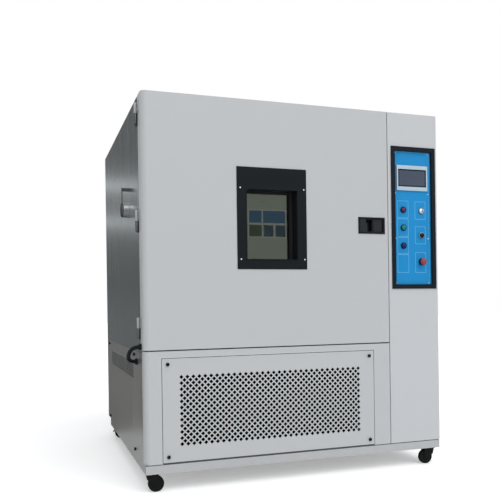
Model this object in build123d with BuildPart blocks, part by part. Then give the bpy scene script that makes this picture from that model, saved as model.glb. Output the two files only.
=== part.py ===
from build123d import *
import os

# A floor-standing environmental test chamber on four casters: an insulated test space
# behind one wide door with a window, a machine compartment below it behind a perforated
# panel, and a control column along the right side. Millimetres, +Z up, the front faces
# -Y, and the origin is on the floor under the middle of the part's box.

os.makedirs("parts", exist_ok=True)

# Overall body
BODY_W = 1570.0
BODY_D = 1480.0
BODY_TOP = 1840.0
RIDE = 85.0
BAND_H = 43.0
SHEET = 1.5
SEAM = 4.0
FIT = 0.3
RUN = 0.08
EDGE_R = 25.0
COLUMN_R = 12.0

# Door and mouth
DOOR_W = 1268.0
DOOR_T = 90.0
DOOR_BOTTOM = 652.0
SEAL_T = 8.0
SEAL_W = 22.0
SEAL_INSET = 25.0
DOOR_LINER_T = 1.5

# Test space, with the air duct behind it
ROOM_W = 1000.0
MOTOR_BAY = 71.7
ROOM_H = 1000.0
DUCT_D = 200.0
REAR_WALL = 110.0
FLOOR_WALL = 104.0
FRAME_T = 2.0
JOINT = 0.3

# Window in the door
WINDOW_X = 632.0
WINDOW_Z = 1271.0
WINDOW_PLATE_W = 360.0
WINDOW_PLATE_H = 491.0
WINDOW_W = 260.0
WINDOW_H = 338.0
WINDOW_DROP = 29.0
WINDOW_PROUD = 3.0
SLEEVE_T = 3.0
PANE_T = 6.0
PANE_DEPTH = 66.0

# Latch in the door
LATCH_X = 1174.0
LATCH_Z = 1251.0
LATCH_W = 152.0
LATCH_H = 84.0
LATCH_PROUD = 2.0
LATCH_DEPTH = 36.0
LATCH_RIM = 8.0
POCKET_W = 97.0
POCKET_DEPTH = 30.0
PADDLE_W = 54.0
PADDLE_T = 5.0
PADDLE_LIP = 5.0
PADDLE_PIN_R = 3.0
PADDLE_PIN_IN = 2.0
PADDLE_GAP = 0.5
LATCH_WALL = 4.0
STRIKER_X = 1184.0
STRIKER_R = 7.0
STRIKER_L = 20.0
STRIKER_POCKET_R = 20.0

# Door hinges
HINGE_OUT = 9.0
HINGE_BACK = 2.0
HINGE_H = 100.0
HINGE_R = 8.0
HINGE_PIN_R = 4.0
HINGE_LEAF_W = 46.0
HINGE_LEAF_T = 3.0
HINGE_PIN_L = 40.0
HINGE_MID_Z = 1254.0
HINGE_SPACING = 502.0

# Lower front
FASCIA_DEPTH = 60.0
FASCIA_TOP = 646.0
CHAMBER_BOTTOM = 640.0
VENT_X = 628.0
VENT_W = 1093.0
VENT_H = 479.0
VENT_BOTTOM = 133.0
VENT_GAP = 2.5
VENT_LEDGE = 22.0
HOLE_COLS = 22
HOLE_ROWS = 8
HOLE_SPAN_X = 914.0
HOLE_SPAN_Z = 311.0
HOLE_FIELD_Z = 369.5
HOLE_SHARE = 0.7
KNOB_R = 8.5
KNOB_H = 9.0
KNOB_BEVEL = 2.4
KNOB_INSET = 26.0
KNOB_SIDE_Y = (285.0, BODY_D - 140.0)
KNOB_SIDE_Z = (148.0, 618.0)

# Side and rear panels
PANEL_RETURN = 12.0
SLOT_ROWS = 7
SLOT_L = 294.0
SLOT_H = 5.5
SLOT_STEP = 310.0
SLOT_PITCH = 11.5
SLOT_FIELD_Y = 790.0
SLOT_FIELD_Z = 534.0
REAR_LIP = 25.0
LOUVRE_ROWS = 6
LOUVRE_H = 12.0
LOUVRE_STEP = 375.0
LOUVRE_PITCH = 42.0
PIPE_X = (180.0, 300.0, 420.0)
PIPE_Z = 90.0
PIPE_NUT_R = 20.0
PIPE_NUT_T = 6.0

# Base frame and casters
RAIL_W = 40.0
RAIL_T = 3.0
FRAME_SETBACK = 120.0
BAND_INSET = 8.0
WELD = 0.3
PAN_T = 2.0
GROOVE_H = 4.0
GROOVE_DEPTH = 8.0
POST_W = 40.0
POST_INSET = 30.0
CASTER_X = (34.0, 42.0)
CASTER_RIGHT_X = 63.0
CASTER_Y = 28.0
PLATE_W = 54.0
PLATE_T = 3.0
KINGPIN_R = 6.0
CROWN_T = 3.5
TRAIL = 17.0
CROWN_L = 56.0
KNEE_OUT = 17.0
KNEE_Z = 56.0
KNEE_R = 5.0
LEG_GAP = 1.5
KINGPIN_HEAD_R = 9.0
KINGPIN_HEAD_T = 2.0
TREAD_CHAMFER = 4.0
PEDAL_BACK = 14.0
PEDAL_Z = 68.0
PEDAL_REACH = 16.0
PEDAL_DROP = 26.0
PEDAL_T = 3.0
PEDAL_EYE_R = 4.0
PEDAL_PIN_R = 2.0
WHEEL_R = 37.5
WHEEL_W = 24.0
FORK_T = 3.0
AXLE_R = 4.0
AXLE_BOSS_R = 14.0

# Control column
BEZEL_X = 1422.0
BEZEL_Z = 1297.0
BEZEL_W = 264.0
BEZEL_H = 740.0
BEZEL_PROUD = 5.0
BEZEL_RIM = 23.0
BEZEL_WALL = 3.0
PANEL_DEPTH = 8.0
PANEL_T = 3.0
SCREEN_X = 1418.0
SCREEN_Z = 1505.5
SCREEN_BEZEL_W = 184.0
SCREEN_BEZEL_H = 131.0
SCREEN_W = 167.0
SCREEN_H = 91.0
SCREEN_PROUD = 7.0
SCREEN_T = 4.0
SCREEN_SUNK = 1.0
SWITCH_LEFT_X = 1365.0
SWITCH_RIGHT_X = 1473.0
SWITCH_LEFT_Z = (1339.0, 1246.0, 1152.0)
SWITCH_RIGHT_Z = (1336.0, 1207.0)
STOP_Z = 1069.0
COLLAR_R = 14.8
COLLAR_H = 6.0
CAP_R = 11.5
CAP_PROUD = 4.0
STEM_R = 6.0
STEM_L = 22.0
PRESS = 3.0
KEY_OUT = 24.0
KEY_W = 20.0
KEY_T = 2.5
STOP_R = 19.0
STOP_OUT = 28.0
STOP_CAP = 13.0
STOP_BEVEL = 4.3

# Cable port in the left wall
PORT_Y = 423.0
PORT_Z = 1350.0
PORT_R = 25.0
PORT_WALL = 3.0
PORT_COLLAR_R = 37.0
PORT_COLLAR_L = 26.0
PORT_FLANGE_R = 42.0
COVER_T = 8.0
COVER_ARM = 106.0
COVER_PIN_R = 4.0
COVER_EYE_R = 9.0
COVER_ARM_W = 9.0

# Conduit between the door and the body
CONDUIT_D = 19.0
CONDUIT_TOP_Y = 74.0
CONDUIT_TOP_Z = 666.0
CONDUIT_LOW_Y = 205.0
CONDUIT_LOW_Z = 588.0
CONDUIT_REACH = 68.0
GLAND_R = 14.0
GLAND_L = 10.0
CONDUIT_BEND = 26.0

# Air circulation, cooling and machine compartment
FAN_Z = 1470.0
FAN_R = 140.0
FAN_BLADES = 6
FAN_HUB_R = 30.0
SHAFT_R = 7.0
SHAFT_HOLE_R = 12.0
MOTOR_R = 62.0
MOTOR_L = 64.0
MOTOR_SHAFT_IN = 30.0
FAN_SETBACK = 20.0
FAN_HUB_L = 50.0
BLADE_T = 3.0
BLADE_W = 40.0
BLADE_ANGLE = 35.0
GRILLE_PLATE_T = 2.0
DUCT_SLOT_W = 170.0
DUCT_SLOT_H = 14.0
DUCT_SLOT_Z = 130.0
DUCT_STEP_X = 220.0
DUCT_STEP_Z = 31.0
GUARD_SECTORS = 12
GUARD_SLOT_W = 16.0
COIL_W = 760.0
COIL_H = 260.0
COIL_D = 90.0
COIL_RAISE = 60.0
COIL_SETBACK = 60.0
COIL_TRAY_H = 15.0
COIL_FOOT = 30.0
COIL_FOOT_SPAN = 680.0
FIN_GAP_DEPTH = 15.0
FIN_COUNT = 12
HEATER_R = 5.0
HEATER_W = 700.0
HEATER_RISE = 70.0
HEATER_PITCH = 36.0
HEATER_BRACKET_W = 60.0
HEATER_BRACKET_T = 2.0
SHELF_T = 2.0
SHELF_LIP = 18.0
SHELF_SLOTS = 9
SHELF_SLOT_W = 30.0
SHELF_SLOT_END = 70.0
SHELF_SETBACK = 20.0
SHELF_LEVELS = (320.0, 700.0)
UPRIGHT_INSET = 120.0
RAIL_BAR = 25.0
RAIL_PLATE = 2.5
COMPRESSOR_R = 105.0
COMPRESSOR_X = 330.0
COMPRESSOR_FOOT = 16.0
COMPRESSOR_FOOT_SPAN = 158.0
COMPRESSOR_BASE_W = 200.0
COMPRESSOR_BASE_T = 4.0
COMPRESSOR_WALL_H = 190.0
COMPRESSOR_DOME = ((95.0, 238.0), (58.0, 270.0))
CONDENSER_W = 460.0
CONDENSER_H = 400.0
CONDENSER_D = 60.0
CONDENSER_X = 860.0
CONDENSER_SETBACK = 30.0
CONDENSER_FAN_R = 160.0
CONDENSER_HUB_L = 36.0
CONDENSER_BLADE_W = 29.0
SHROUD_D = 60.0
SHROUD_CLEAR = 10.0
FAN_MOUNT_R = 45.0
FAN_MOUNT_L = 60.0
FAN_MOUNT_BAR = 24.0
DRAIN_R = 10.5
PIPE_L = 38.0
GEAR_PLATE_T = 3.0
GEAR_INSET = 12.0
GEAR_END = 48.0
GEAR_STEP_Y = 252.0
GEAR_STEP_Z = 330.0
GEAR_MODULE_W = 180.0
GEAR_MODULE_H = 220.0
GEAR_MODULE_D = 90.0

# The frame: the middle of the part's box stands over the origin
LEFT_PROUD = PORT_COLLAR_L + FIT + COVER_T
FRONT_PROUD = max(KEY_OUT, STOP_OUT) - PANEL_DEPTH
REAR_PROUD = PIPE_L
LEFT = (LEFT_PROUD - BODY_W) / 2
RIGHT = LEFT + BODY_W
FRONT = (FRONT_PROUD - BODY_D - REAR_PROUD) / 2
REAR = FRONT + BODY_D
BAND_TOP = RIDE + BAND_H
FRAME_Y = FRONT + DOOR_T + SEAL_T + FIT
ROOM_D = REAR - MOTOR_BAY - REAR_WALL - DUCT_D - FRAME_Y
FRAME_D = BODY_D - FRAME_SETBACK
CASTER_REAR_Y = FRAME_D - CASTER_Y
SHELF_SLOT_L = ROOM_D - 2 * SHELF_SLOT_END
DOOR_RIGHT = LEFT + DOOR_W
COLUMN_X = DOOR_RIGHT + SEAM
ROOM_X0 = LEFT + (DOOR_W - ROOM_W) / 2
ROOM_X1 = ROOM_X0 + ROOM_W
ROOM_Z0 = CHAMBER_BOTTOM + FLOOR_WALL
ROOM_Z1 = ROOM_Z0 + ROOM_H
ROOM_REAR = FRAME_Y + ROOM_D + DUCT_D
CORE_REAR = ROOM_REAR + REAR_WALL
HINGE_X = LEFT - HINGE_OUT
HINGE_Y = FRONT + DOOR_T + HINGE_BACK
HINGE_Z = [HINGE_MID_Z + i * HINGE_SPACING for i in (-1, 0, 1)]
PANEL_Y = FRONT + PANEL_DEPTH
ROOM_MID_X = (ROOM_X0 + ROOM_X1) / 2
DUCT_Y = FRAME_Y + ROOM_D


def plan(z):
    """A level plane at height z: sketches in (X, Y), extrudes upwards."""
    return Plane.XY.offset(z)


def front(y):
    """An upright plane facing the front at depth y: sketches in (X, Z), extrudes forwards."""
    return Plane.XZ.offset(-y)


def side(x):
    """An upright plane along the side at x: sketches in (Y, Z), extrudes to the right."""
    return Plane.YZ.offset(x)


def rectangle(a0, b0, a1, b1, mode=Mode.ADD):
    """A rectangle between two opposite corners, in the plane of the open sketch."""
    with Locations(((a0 + a1) / 2, (b0 + b1) / 2)):
        Rectangle(a1 - a0, b1 - b0, mode=mode)


def sorted_pair(a0, a1, b0, b1):
    """The corners of a rectangle in rising order, for one that is given from either side."""
    return min(a0, a1), b0, max(a0, a1), b1


def tube_section(a0, b0, a1, b1, wall):
    """A rectangular tube's section between two opposite corners."""
    rectangle(a0, b0, a1, b1)
    rectangle(a0 + wall, b0 + wall, a1 - wall, b1 - wall, mode=Mode.SUBTRACT)


def save(piece, name):
    """Labels a finished piece and writes it as one STEP file."""
    piece.part.label = name
    export_step(piece.part, f"parts/{name}.step")


# Base frame: a front band across the whole width with a shadow groove along its top, side
# and rear rails and two bearers, all box section, the compartment's floor pan on top, and
# four posts that carry the chamber.
RAIL_Z1 = BAND_TOP - PAN_T - WELD
FRAME_X0 = LEFT + SHEET + FIT
FRAME_X1 = RIGHT - BAND_INSET
FRAME_REAR = FRONT + FRAME_D
BEARER_Y = [FRONT + FRAME_D / 3, FRONT + 2 * FRAME_D / 3]
POST_X = [LEFT + POST_INSET, DOOR_RIGHT - POST_INSET - POST_W]
POST_Y = [FRAME_Y + POST_INSET, FRAME_REAR - POST_INSET - POST_W]
with BuildPart() as base_frame:
    with BuildSketch(side(FRAME_X0)):
        tube_section(FRONT, RIDE, FRONT + RAIL_W, BAND_TOP - GROOVE_H, RAIL_T)
        rectangle(FRONT + GROOVE_DEPTH, BAND_TOP - GROOVE_H, FRONT + RAIL_W, BAND_TOP)
        tube_section(FRAME_REAR - RAIL_W, RIDE, FRAME_REAR, RAIL_Z1, RAIL_T)
    extrude(amount=FRAME_X1 - FRAME_X0)
    with BuildSketch(front(FRAME_REAR - RAIL_W - WELD)):
        tube_section(FRAME_X0, RIDE, LEFT + RAIL_W, RAIL_Z1, RAIL_T)
        tube_section(FRAME_X1 - RAIL_W, RIDE, FRAME_X1, RAIL_Z1, RAIL_T)
    extrude(amount=FRAME_D - 2 * (RAIL_W + WELD))
    with BuildSketch(side(LEFT + RAIL_W + WELD)):
        for y in BEARER_Y:
            tube_section(y - RAIL_W / 2, RIDE, y + RAIL_W / 2, RAIL_Z1, RAIL_T)
    extrude(amount=FRAME_X1 - LEFT - 2 * (RAIL_W + WELD))
    with BuildSketch(plan(BAND_TOP - PAN_T)):
        rectangle(FRAME_X0, FRONT + RAIL_W + WELD, RIGHT, FRAME_REAR)
    extrude(amount=PAN_T)
    with BuildSketch(plan(BAND_TOP + WELD)):
        for x in POST_X:
            for y in POST_Y:
                tube_section(x, y, x + POST_W, y + POST_W, RAIL_T)
    extrude(amount=CHAMBER_BOTTOM - BAND_TOP - 2 * WELD)
save(base_frame, "base_frame")

# Casters: bolted top plates with their kingpins, swivelling forks with the axle riveted
# in, wheels, and a brake pedal on each rear fork.
CASTERS = {
    "front_left": (LEFT + CASTER_X[0], FRONT + CASTER_Y, 1),
    "front_right": (RIGHT - CASTER_RIGHT_X, FRONT + CASTER_Y, -1),
    "rear_left": (LEFT + CASTER_X[1], FRONT + CASTER_REAR_Y, 1),
    "rear_right": (RIGHT - CASTER_RIGHT_X, FRONT + CASTER_REAR_Y, -1),
}
PLATE_Z = RIDE - PLATE_T
CROWN_Z1 = PLATE_Z - FIT
CROWN_Z0 = CROWN_Z1 - CROWN_T
LEG_Y = WHEEL_W / 2 + LEG_GAP
CROWN_W = 2 * (LEG_Y + FORK_T)
with BuildPart() as caster_plates:
    for x, y, way in CASTERS.values():
        with BuildSketch(plan(PLATE_Z)):
            with Locations((x, y)):
                Rectangle(PLATE_W, PLATE_W)
        extrude(amount=PLATE_T)
        with BuildSketch(plan(PLATE_Z)):
            with Locations((x, y)):
                Circle(KINGPIN_R)
        extrude(amount=-(CROWN_T + 2 * FIT))
        with BuildSketch(plan(CROWN_Z0 - FIT)):
            with Locations((x, y)):
                Circle(KINGPIN_HEAD_R)
        extrude(amount=-KINGPIN_HEAD_T)
save(caster_plates, "caster_plates")

for corner, (x, y, way) in CASTERS.items():
    axle_x = x + way * TRAIL
    pedal_x = x - way * PEDAL_BACK
    braked = corner.startswith("rear")
    with BuildPart() as fork:
        with BuildSketch(plan(CROWN_Z0)):
            with Locations((x, y)):
                Rectangle(CROWN_L, CROWN_W)
                Circle(KINGPIN_R + RUN, mode=Mode.SUBTRACT)
        extrude(amount=CROWN_T)
        for leg_front in (y - LEG_Y, y + LEG_Y + FORK_T):
            with BuildSketch(front(leg_front)):
                with Locations((x, CROWN_Z0 + CROWN_T / 2)):
                    Rectangle(CROWN_L, CROWN_T)
                with Locations((axle_x, WHEEL_R)):
                    Circle(AXLE_BOSS_R)
                with Locations((x - way * KNEE_OUT, KNEE_Z)):
                    Circle(KNEE_R)
                make_hull()
            extrude(amount=FORK_T)
        with BuildSketch(front(y)):
            with Locations((axle_x, WHEEL_R)):
                Circle(AXLE_R)
            if braked:
                with Locations((pedal_x, PEDAL_Z)):
                    Circle(PEDAL_PIN_R)
        extrude(amount=LEG_Y + FORK_T, both=True)
    save(fork, f"caster_fork_{corner}")

    with BuildPart() as wheel:
        with BuildSketch(front(y)):
            with Locations((axle_x, WHEEL_R)):
                Circle(WHEEL_R)
        extrude(amount=WHEEL_W / 2, both=True)
        chamfer(wheel.edges().filter_by(GeomType.CIRCLE), TREAD_CHAMFER)
        with BuildSketch(front(y)):
            with Locations((axle_x, WHEEL_R)):
                Circle(AXLE_R + RUN)
        extrude(amount=WHEEL_W / 2, both=True, mode=Mode.SUBTRACT)
    save(wheel, f"caster_wheel_{corner}")

    if braked:
        with BuildPart() as pedal:
            with BuildSketch(front(y)):
                with Locations(
                    (pedal_x, PEDAL_Z), (pedal_x - way * PEDAL_REACH, PEDAL_Z - PEDAL_DROP)
                ):
                    Circle(PEDAL_T / 2)
                make_hull()
                with Locations((pedal_x, PEDAL_Z)):
                    Circle(PEDAL_EYE_R)
                    Circle(PEDAL_PIN_R + RUN, mode=Mode.SUBTRACT)
            extrude(amount=LEG_Y - FIT, both=True)
        save(pedal, f"brake_pedal_{corner}")

# Lower front: a painted tray with the perforated panel let into it, and its thumb screws.
VENT_Z = VENT_BOTTOM + VENT_H / 2
VENT_MID_X = LEFT + VENT_X
with BuildPart() as lower_fascia:
    with BuildSketch(plan(BAND_TOP)):
        rectangle(LEFT, FRONT, DOOR_RIGHT, FRONT + FASCIA_DEPTH)
    extrude(amount=FASCIA_TOP - BAND_TOP)
    left_edge = lower_fascia.edges().filter_by(Axis.Z).sort_by(Axis.X)[:2].sort_by(Axis.Y)[0]
    fillet(left_edge, EDGE_R)
    offset(amount=-SHEET, openings=lower_fascia.faces().sort_by(Axis.Y)[-1])
    with BuildSketch(front(FRONT)):
        with Locations((VENT_MID_X, VENT_Z)):
            Rectangle(VENT_W + 2 * VENT_GAP, VENT_H + 2 * VENT_GAP)
    extrude(amount=-SHEET, mode=Mode.SUBTRACT)
    with BuildSketch(front(FRONT + SHEET)):
        with Locations((VENT_MID_X, VENT_Z)):
            Rectangle(VENT_W + 2 * VENT_LEDGE, VENT_H + VENT_GAP)
            Rectangle(VENT_W - 2 * VENT_LEDGE, VENT_H - 2 * VENT_LEDGE, mode=Mode.SUBTRACT)
    extrude(amount=-SHEET)
save(lower_fascia, "lower_fascia")

HOLE_PITCH_X = HOLE_SPAN_X / (HOLE_COLS - 1)
HOLE_PITCH_Z = HOLE_SPAN_Z / (HOLE_ROWS - 1)
HOLE_R = HOLE_SHARE * HOLE_PITCH_Z / 2
with BuildPart() as vent_panel:
    with BuildSketch(front(FRONT)):
        with Locations((VENT_MID_X, VENT_Z)):
            Rectangle(VENT_W, VENT_H)
        with Locations((VENT_MID_X, HOLE_FIELD_Z)):
            with GridLocations(HOLE_PITCH_X, HOLE_PITCH_Z, HOLE_COLS, HOLE_ROWS):
                RegularPolygon(HOLE_R, 4, mode=Mode.SUBTRACT)
            with GridLocations(HOLE_PITCH_X, HOLE_PITCH_Z, HOLE_COLS - 1, HOLE_ROWS - 1):
                RegularPolygon(HOLE_R, 4, mode=Mode.SUBTRACT)
    extrude(amount=-SHEET)
save(vent_panel, "vent_panel")

KNOB_FRONT_X = VENT_W / 2 - KNOB_INSET
KNOB_FRONT_Z = VENT_H / 2 - KNOB_INSET
with BuildPart() as panel_knobs:
    with BuildSketch(front(FRONT)):
        with Locations((VENT_MID_X, VENT_Z)):
            with GridLocations(2 * KNOB_FRONT_X, 2 * KNOB_FRONT_Z, 2, 2):
                Circle(KNOB_R)
    extrude(amount=KNOB_H)
    with BuildSketch(side(LEFT)):
        with Locations([(FRONT + y, z) for y in KNOB_SIDE_Y for z in KNOB_SIDE_Z]):
            Circle(KNOB_R)
    extrude(amount=-KNOB_H)
    front_rims = panel_knobs.faces().group_by(Axis.Y)[0].edges()
    side_rims = panel_knobs.faces().group_by(Axis.X)[0].edges()
    chamfer(front_rims + side_rims, KNOB_BEVEL)
save(panel_knobs, "panel_knobs")

# Lower left side panel: a sheet tray with rows of louvre slots, and a skirt below it that
# covers the base frame's side.
with BuildPart() as lower_side_panel:
    with BuildSketch(side(LEFT)):
        rectangle(FRONT + FASCIA_DEPTH + VENT_GAP, BAND_TOP, REAR, CHAMBER_BOTTOM - VENT_GAP)
    extrude(amount=PANEL_RETURN)
    offset(amount=-SHEET, openings=lower_side_panel.faces().sort_by(Axis.X)[-1])
    with BuildSketch(side(LEFT)):
        with Locations((FRONT + SLOT_FIELD_Y, SLOT_FIELD_Z)):
            with GridLocations(SLOT_STEP, SLOT_PITCH, 3, SLOT_ROWS):
                Rectangle(SLOT_L, SLOT_H)
    extrude(amount=SHEET, mode=Mode.SUBTRACT)
    with BuildSketch(side(LEFT)):
        rectangle(FRONT, RIDE, FRAME_REAR, BAND_TOP)
    extrude(amount=SHEET)
    with BuildSketch(side(LEFT)):
        with Locations((FRONT + CONDUIT_LOW_Y, CONDUIT_LOW_Z)):
            Circle(GLAND_R)
    extrude(amount=-GLAND_L)
save(lower_side_panel, "lower_side_panel")

# Outer shells: the side sheets turn in at the rear, where the rear panel fills between them,
# and the top sheet lies between the sides and runs forward over the column.
SHELL_Y0 = FRAME_Y + FRAME_T
with BuildPart() as left_shell:
    with BuildSketch(plan(CHAMBER_BOTTOM)):
        rectangle(LEFT, SHELL_Y0, LEFT + SHEET, REAR)
        rectangle(LEFT, REAR - SHEET, LEFT + REAR_LIP, REAR)
    extrude(amount=BODY_TOP - CHAMBER_BOTTOM)
    with BuildSketch(side(LEFT)):
        with Locations((FRONT + PORT_Y, PORT_Z)):
            Circle(PORT_R + PORT_WALL + JOINT)
    extrude(amount=SHEET, mode=Mode.SUBTRACT)
save(left_shell, "left_shell")

with BuildPart() as right_shell:
    with BuildSketch(plan(BAND_TOP)):
        rectangle(RIGHT - SHEET, FRONT + FASCIA_DEPTH + VENT_GAP, RIGHT, REAR)
        rectangle(RIGHT - REAR_LIP, REAR - SHEET, RIGHT, REAR)
    extrude(amount=BODY_TOP - BAND_TOP)
save(right_shell, "right_shell")

with BuildPart() as top_shell:
    with BuildSketch(plan(BODY_TOP - SHEET)):
        rectangle(LEFT + SHEET, SHELL_Y0, RIGHT - SHEET, REAR - SHEET)
        rectangle(COLUMN_X, FRONT + FASCIA_DEPTH + VENT_GAP, RIGHT - SHEET, SHELL_Y0)
    extrude(amount=SHEET)
save(top_shell, "top_shell")

LOUVRE_Z = (BAND_TOP + CHAMBER_BOTTOM) / 2
with BuildPart() as rear_panel:
    with BuildSketch(front(REAR - SHEET)):
        rectangle(LEFT + REAR_LIP, BAND_TOP, RIGHT - REAR_LIP, BODY_TOP - SHEET)
        with Locations((0, LOUVRE_Z)):
            with GridLocations(LOUVRE_STEP, LOUVRE_PITCH, 3, LOUVRE_ROWS):
                Rectangle(SLOT_L, LOUVRE_H, mode=Mode.SUBTRACT)
    extrude(amount=-SHEET)
save(rear_panel, "rear_panel")

with BuildPart() as rear_connections:
    with BuildSketch(front(REAR)):
        with Locations([(LEFT + x, BAND_TOP + PIPE_Z) for x in PIPE_X]):
            Circle(DRAIN_R)
    extrude(amount=-PIPE_L)
    with BuildSketch(front(REAR)):
        with Locations([(LEFT + x, BAND_TOP + PIPE_Z) for x in PIPE_X]):
            RegularPolygon(PIPE_NUT_R, 6)
    extrude(amount=-PIPE_NUT_T)
save(rear_connections, "rear_connections")

# Chamber: the mouth frame that the door seals on, five insulation boards, the welded
# inner liner, and the striker stud that the door latch takes.
CHAMBER_X0 = LEFT + SHEET
CHAMBER_X1 = DOOR_RIGHT
with BuildPart() as mouth_frame:
    with BuildSketch(front(FRAME_Y)):
        rectangle(LEFT, CHAMBER_BOTTOM, CHAMBER_X1, BODY_TOP)
        rectangle(ROOM_X0, ROOM_Z0, ROOM_X1, ROOM_Z1, mode=Mode.SUBTRACT)
    extrude(amount=-FRAME_T)
    with BuildSketch(front(FRAME_Y)):
        with Locations((LEFT + STRIKER_X, LATCH_Z)):
            Circle(STRIKER_R)
    extrude(amount=STRIKER_L)
save(mouth_frame, "mouth_frame")

BOARD_Y0 = SHELL_Y0 + JOINT
BOARD_X0 = CHAMBER_X0 + JOINT
BOARD_Z0 = CHAMBER_BOTTOM + JOINT
BOARD_Z1 = BODY_TOP - SHEET - JOINT
LINER_X0 = ROOM_X0 - SHEET
LINER_X1 = ROOM_X1 + SHEET
LINER_Z0 = ROOM_Z0 - SHEET
LINER_Z1 = ROOM_Z1 + SHEET
LINER_REAR = ROOM_REAR + SHEET
with BuildPart() as wall_insulation:
    with BuildSketch(plan(BOARD_Z0)):
        rectangle(BOARD_X0, BOARD_Y0, CHAMBER_X1, CORE_REAR)
    extrude(amount=LINER_Z0 - JOINT - BOARD_Z0)
    with BuildSketch(plan(LINER_Z1 + JOINT)):
        rectangle(BOARD_X0, BOARD_Y0, CHAMBER_X1, CORE_REAR)
    extrude(amount=BOARD_Z1 - LINER_Z1 - JOINT)
    with BuildSketch(plan(LINER_Z0)):
        rectangle(BOARD_X0, BOARD_Y0, LINER_X0 - JOINT, LINER_REAR)
        rectangle(LINER_X1 + JOINT, BOARD_Y0, CHAMBER_X1, LINER_REAR)
        rectangle(BOARD_X0, LINER_REAR + JOINT, CHAMBER_X1, CORE_REAR)
    extrude(amount=LINER_Z1 - LINER_Z0)
    with BuildSketch(side(LEFT)):
        with Locations((FRONT + PORT_Y, PORT_Z)):
            Circle(PORT_R + PORT_WALL + JOINT)
    extrude(amount=LINER_X0 - LEFT, mode=Mode.SUBTRACT)
    with BuildSketch(front(LINER_REAR)):
        with Locations((ROOM_MID_X, FAN_Z)):
            Circle(SHAFT_HOLE_R)
    extrude(amount=-REAR_WALL, mode=Mode.SUBTRACT)
save(wall_insulation, "wall_insulation")

with BuildPart() as inner_liner:
    with BuildSketch(front(SHELL_Y0)):
        rectangle(LINER_X0, LINER_Z0, LINER_X1, LINER_Z1)
    extrude(amount=SHELL_Y0 - LINER_REAR)
    offset(amount=-SHEET, openings=inner_liner.faces().sort_by(Axis.Y)[0])
    with BuildSketch(side(LINER_X0)):
        with Locations((FRONT + PORT_Y, PORT_Z)):
            Circle(PORT_R + PORT_WALL + JOINT)
    extrude(amount=SHEET, mode=Mode.SUBTRACT)
    with BuildSketch(front(ROOM_REAR)):
        with Locations((ROOM_MID_X, FAN_Z)):
            Circle(SHAFT_HOLE_R)
    extrude(amount=-SHEET, mode=Mode.SUBTRACT)
save(inner_liner, "inner_liner")

# Air duct across the back of the test space: return slots low down, a supply row at the
# top and a guard in front of the fan.
with BuildPart() as duct_plate:
    with BuildSketch(front(DUCT_Y)):
        rectangle(ROOM_X0, ROOM_Z0, ROOM_X1, ROOM_Z1)
        with Locations((ROOM_MID_X, ROOM_Z0 + DUCT_SLOT_Z)):
            with GridLocations(DUCT_STEP_X, DUCT_STEP_Z, 4, 4):
                Rectangle(DUCT_SLOT_W, DUCT_SLOT_H, mode=Mode.SUBTRACT)
        with Locations((ROOM_MID_X, FAN_Z)):
            with PolarLocations((FAN_R + FAN_HUB_R) / 2, GUARD_SECTORS):
                Rectangle(FAN_R - FAN_HUB_R, GUARD_SLOT_W, mode=Mode.SUBTRACT)
    extrude(amount=-GRILLE_PLATE_T)
save(duct_plate, "duct_plate")

# Circulation fan: a hub with set blades on a shaft that runs out through the rear wall to
# its motor.
FAN_Y = DUCT_Y + GRILLE_PLATE_T + FAN_SETBACK
MOTOR_Y = CORE_REAR
with BuildPart() as circulation_fan:
    with BuildSketch(front(FAN_Y + FAN_HUB_L)):
        with Locations((ROOM_MID_X, FAN_Z)):
            Circle(FAN_HUB_R)
    extrude(amount=FAN_HUB_L)
    with BuildSketch(front(FAN_Y + FAN_HUB_L)):
        with Locations((ROOM_MID_X, FAN_Z)):
            Circle(SHAFT_R)
    extrude(amount=-(MOTOR_Y + MOTOR_SHAFT_IN - FAN_Y - FAN_HUB_L))
    for blade in range(FAN_BLADES):
        spoke = Plane(
            origin=(ROOM_MID_X, FAN_Y + FAN_HUB_L / 2, FAN_Z),
            x_dir=(0, 1, 0),
            z_dir=(1, 0, 0),
        ).rotated((0, 360 * blade / FAN_BLADES, 0))
        with BuildSketch(spoke):
            Rectangle(BLADE_W, BLADE_T, rotation=BLADE_ANGLE)
        extrude(amount=FAN_R)
save(circulation_fan, "circulation_fan")

with BuildPart() as fan_motor:
    with BuildSketch(front(MOTOR_Y)):
        with Locations((ROOM_MID_X, FAN_Z)):
            Circle(MOTOR_R)
    extrude(amount=-MOTOR_L)
    with BuildSketch(front(MOTOR_Y)):
        with Locations((ROOM_MID_X, FAN_Z)):
            Circle(SHAFT_R + RUN)
    extrude(amount=-(MOTOR_SHAFT_IN + FIT), mode=Mode.SUBTRACT)
save(fan_motor, "fan_motor")

# Conditioning behind the duct plate: the finned evaporator with its header pipes, and the
# heater element looped above it.
COIL_Z0 = ROOM_Z0 + COIL_RAISE
COIL_Y0 = DUCT_Y + COIL_SETBACK
FIN_PITCH = COIL_W / FIN_COUNT
with BuildPart() as evaporator:
    with BuildSketch(side(ROOM_MID_X - COIL_W / 2)):
        rectangle(COIL_Y0, COIL_Z0, COIL_Y0 + COIL_D, COIL_Z0 + COIL_H)
    extrude(amount=COIL_W)
    with BuildSketch(plan(COIL_Z0 + COIL_H / 2)):
        with Locations((ROOM_MID_X, COIL_Y0)):
            with GridLocations(FIN_PITCH, 1, FIN_COUNT, 1):
                Rectangle(FIN_PITCH / 2, 2 * FIN_GAP_DEPTH)
    extrude(amount=COIL_H / 2 - COIL_TRAY_H, both=True, mode=Mode.SUBTRACT)
    with BuildSketch(plan(ROOM_Z0)):
        with Locations((ROOM_MID_X, COIL_Y0 + COIL_D / 2)):
            with GridLocations(COIL_FOOT_SPAN, 1, 2, 1):
                Rectangle(COIL_FOOT, COIL_D)
    extrude(amount=COIL_RAISE)
save(evaporator, "evaporator")

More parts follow.
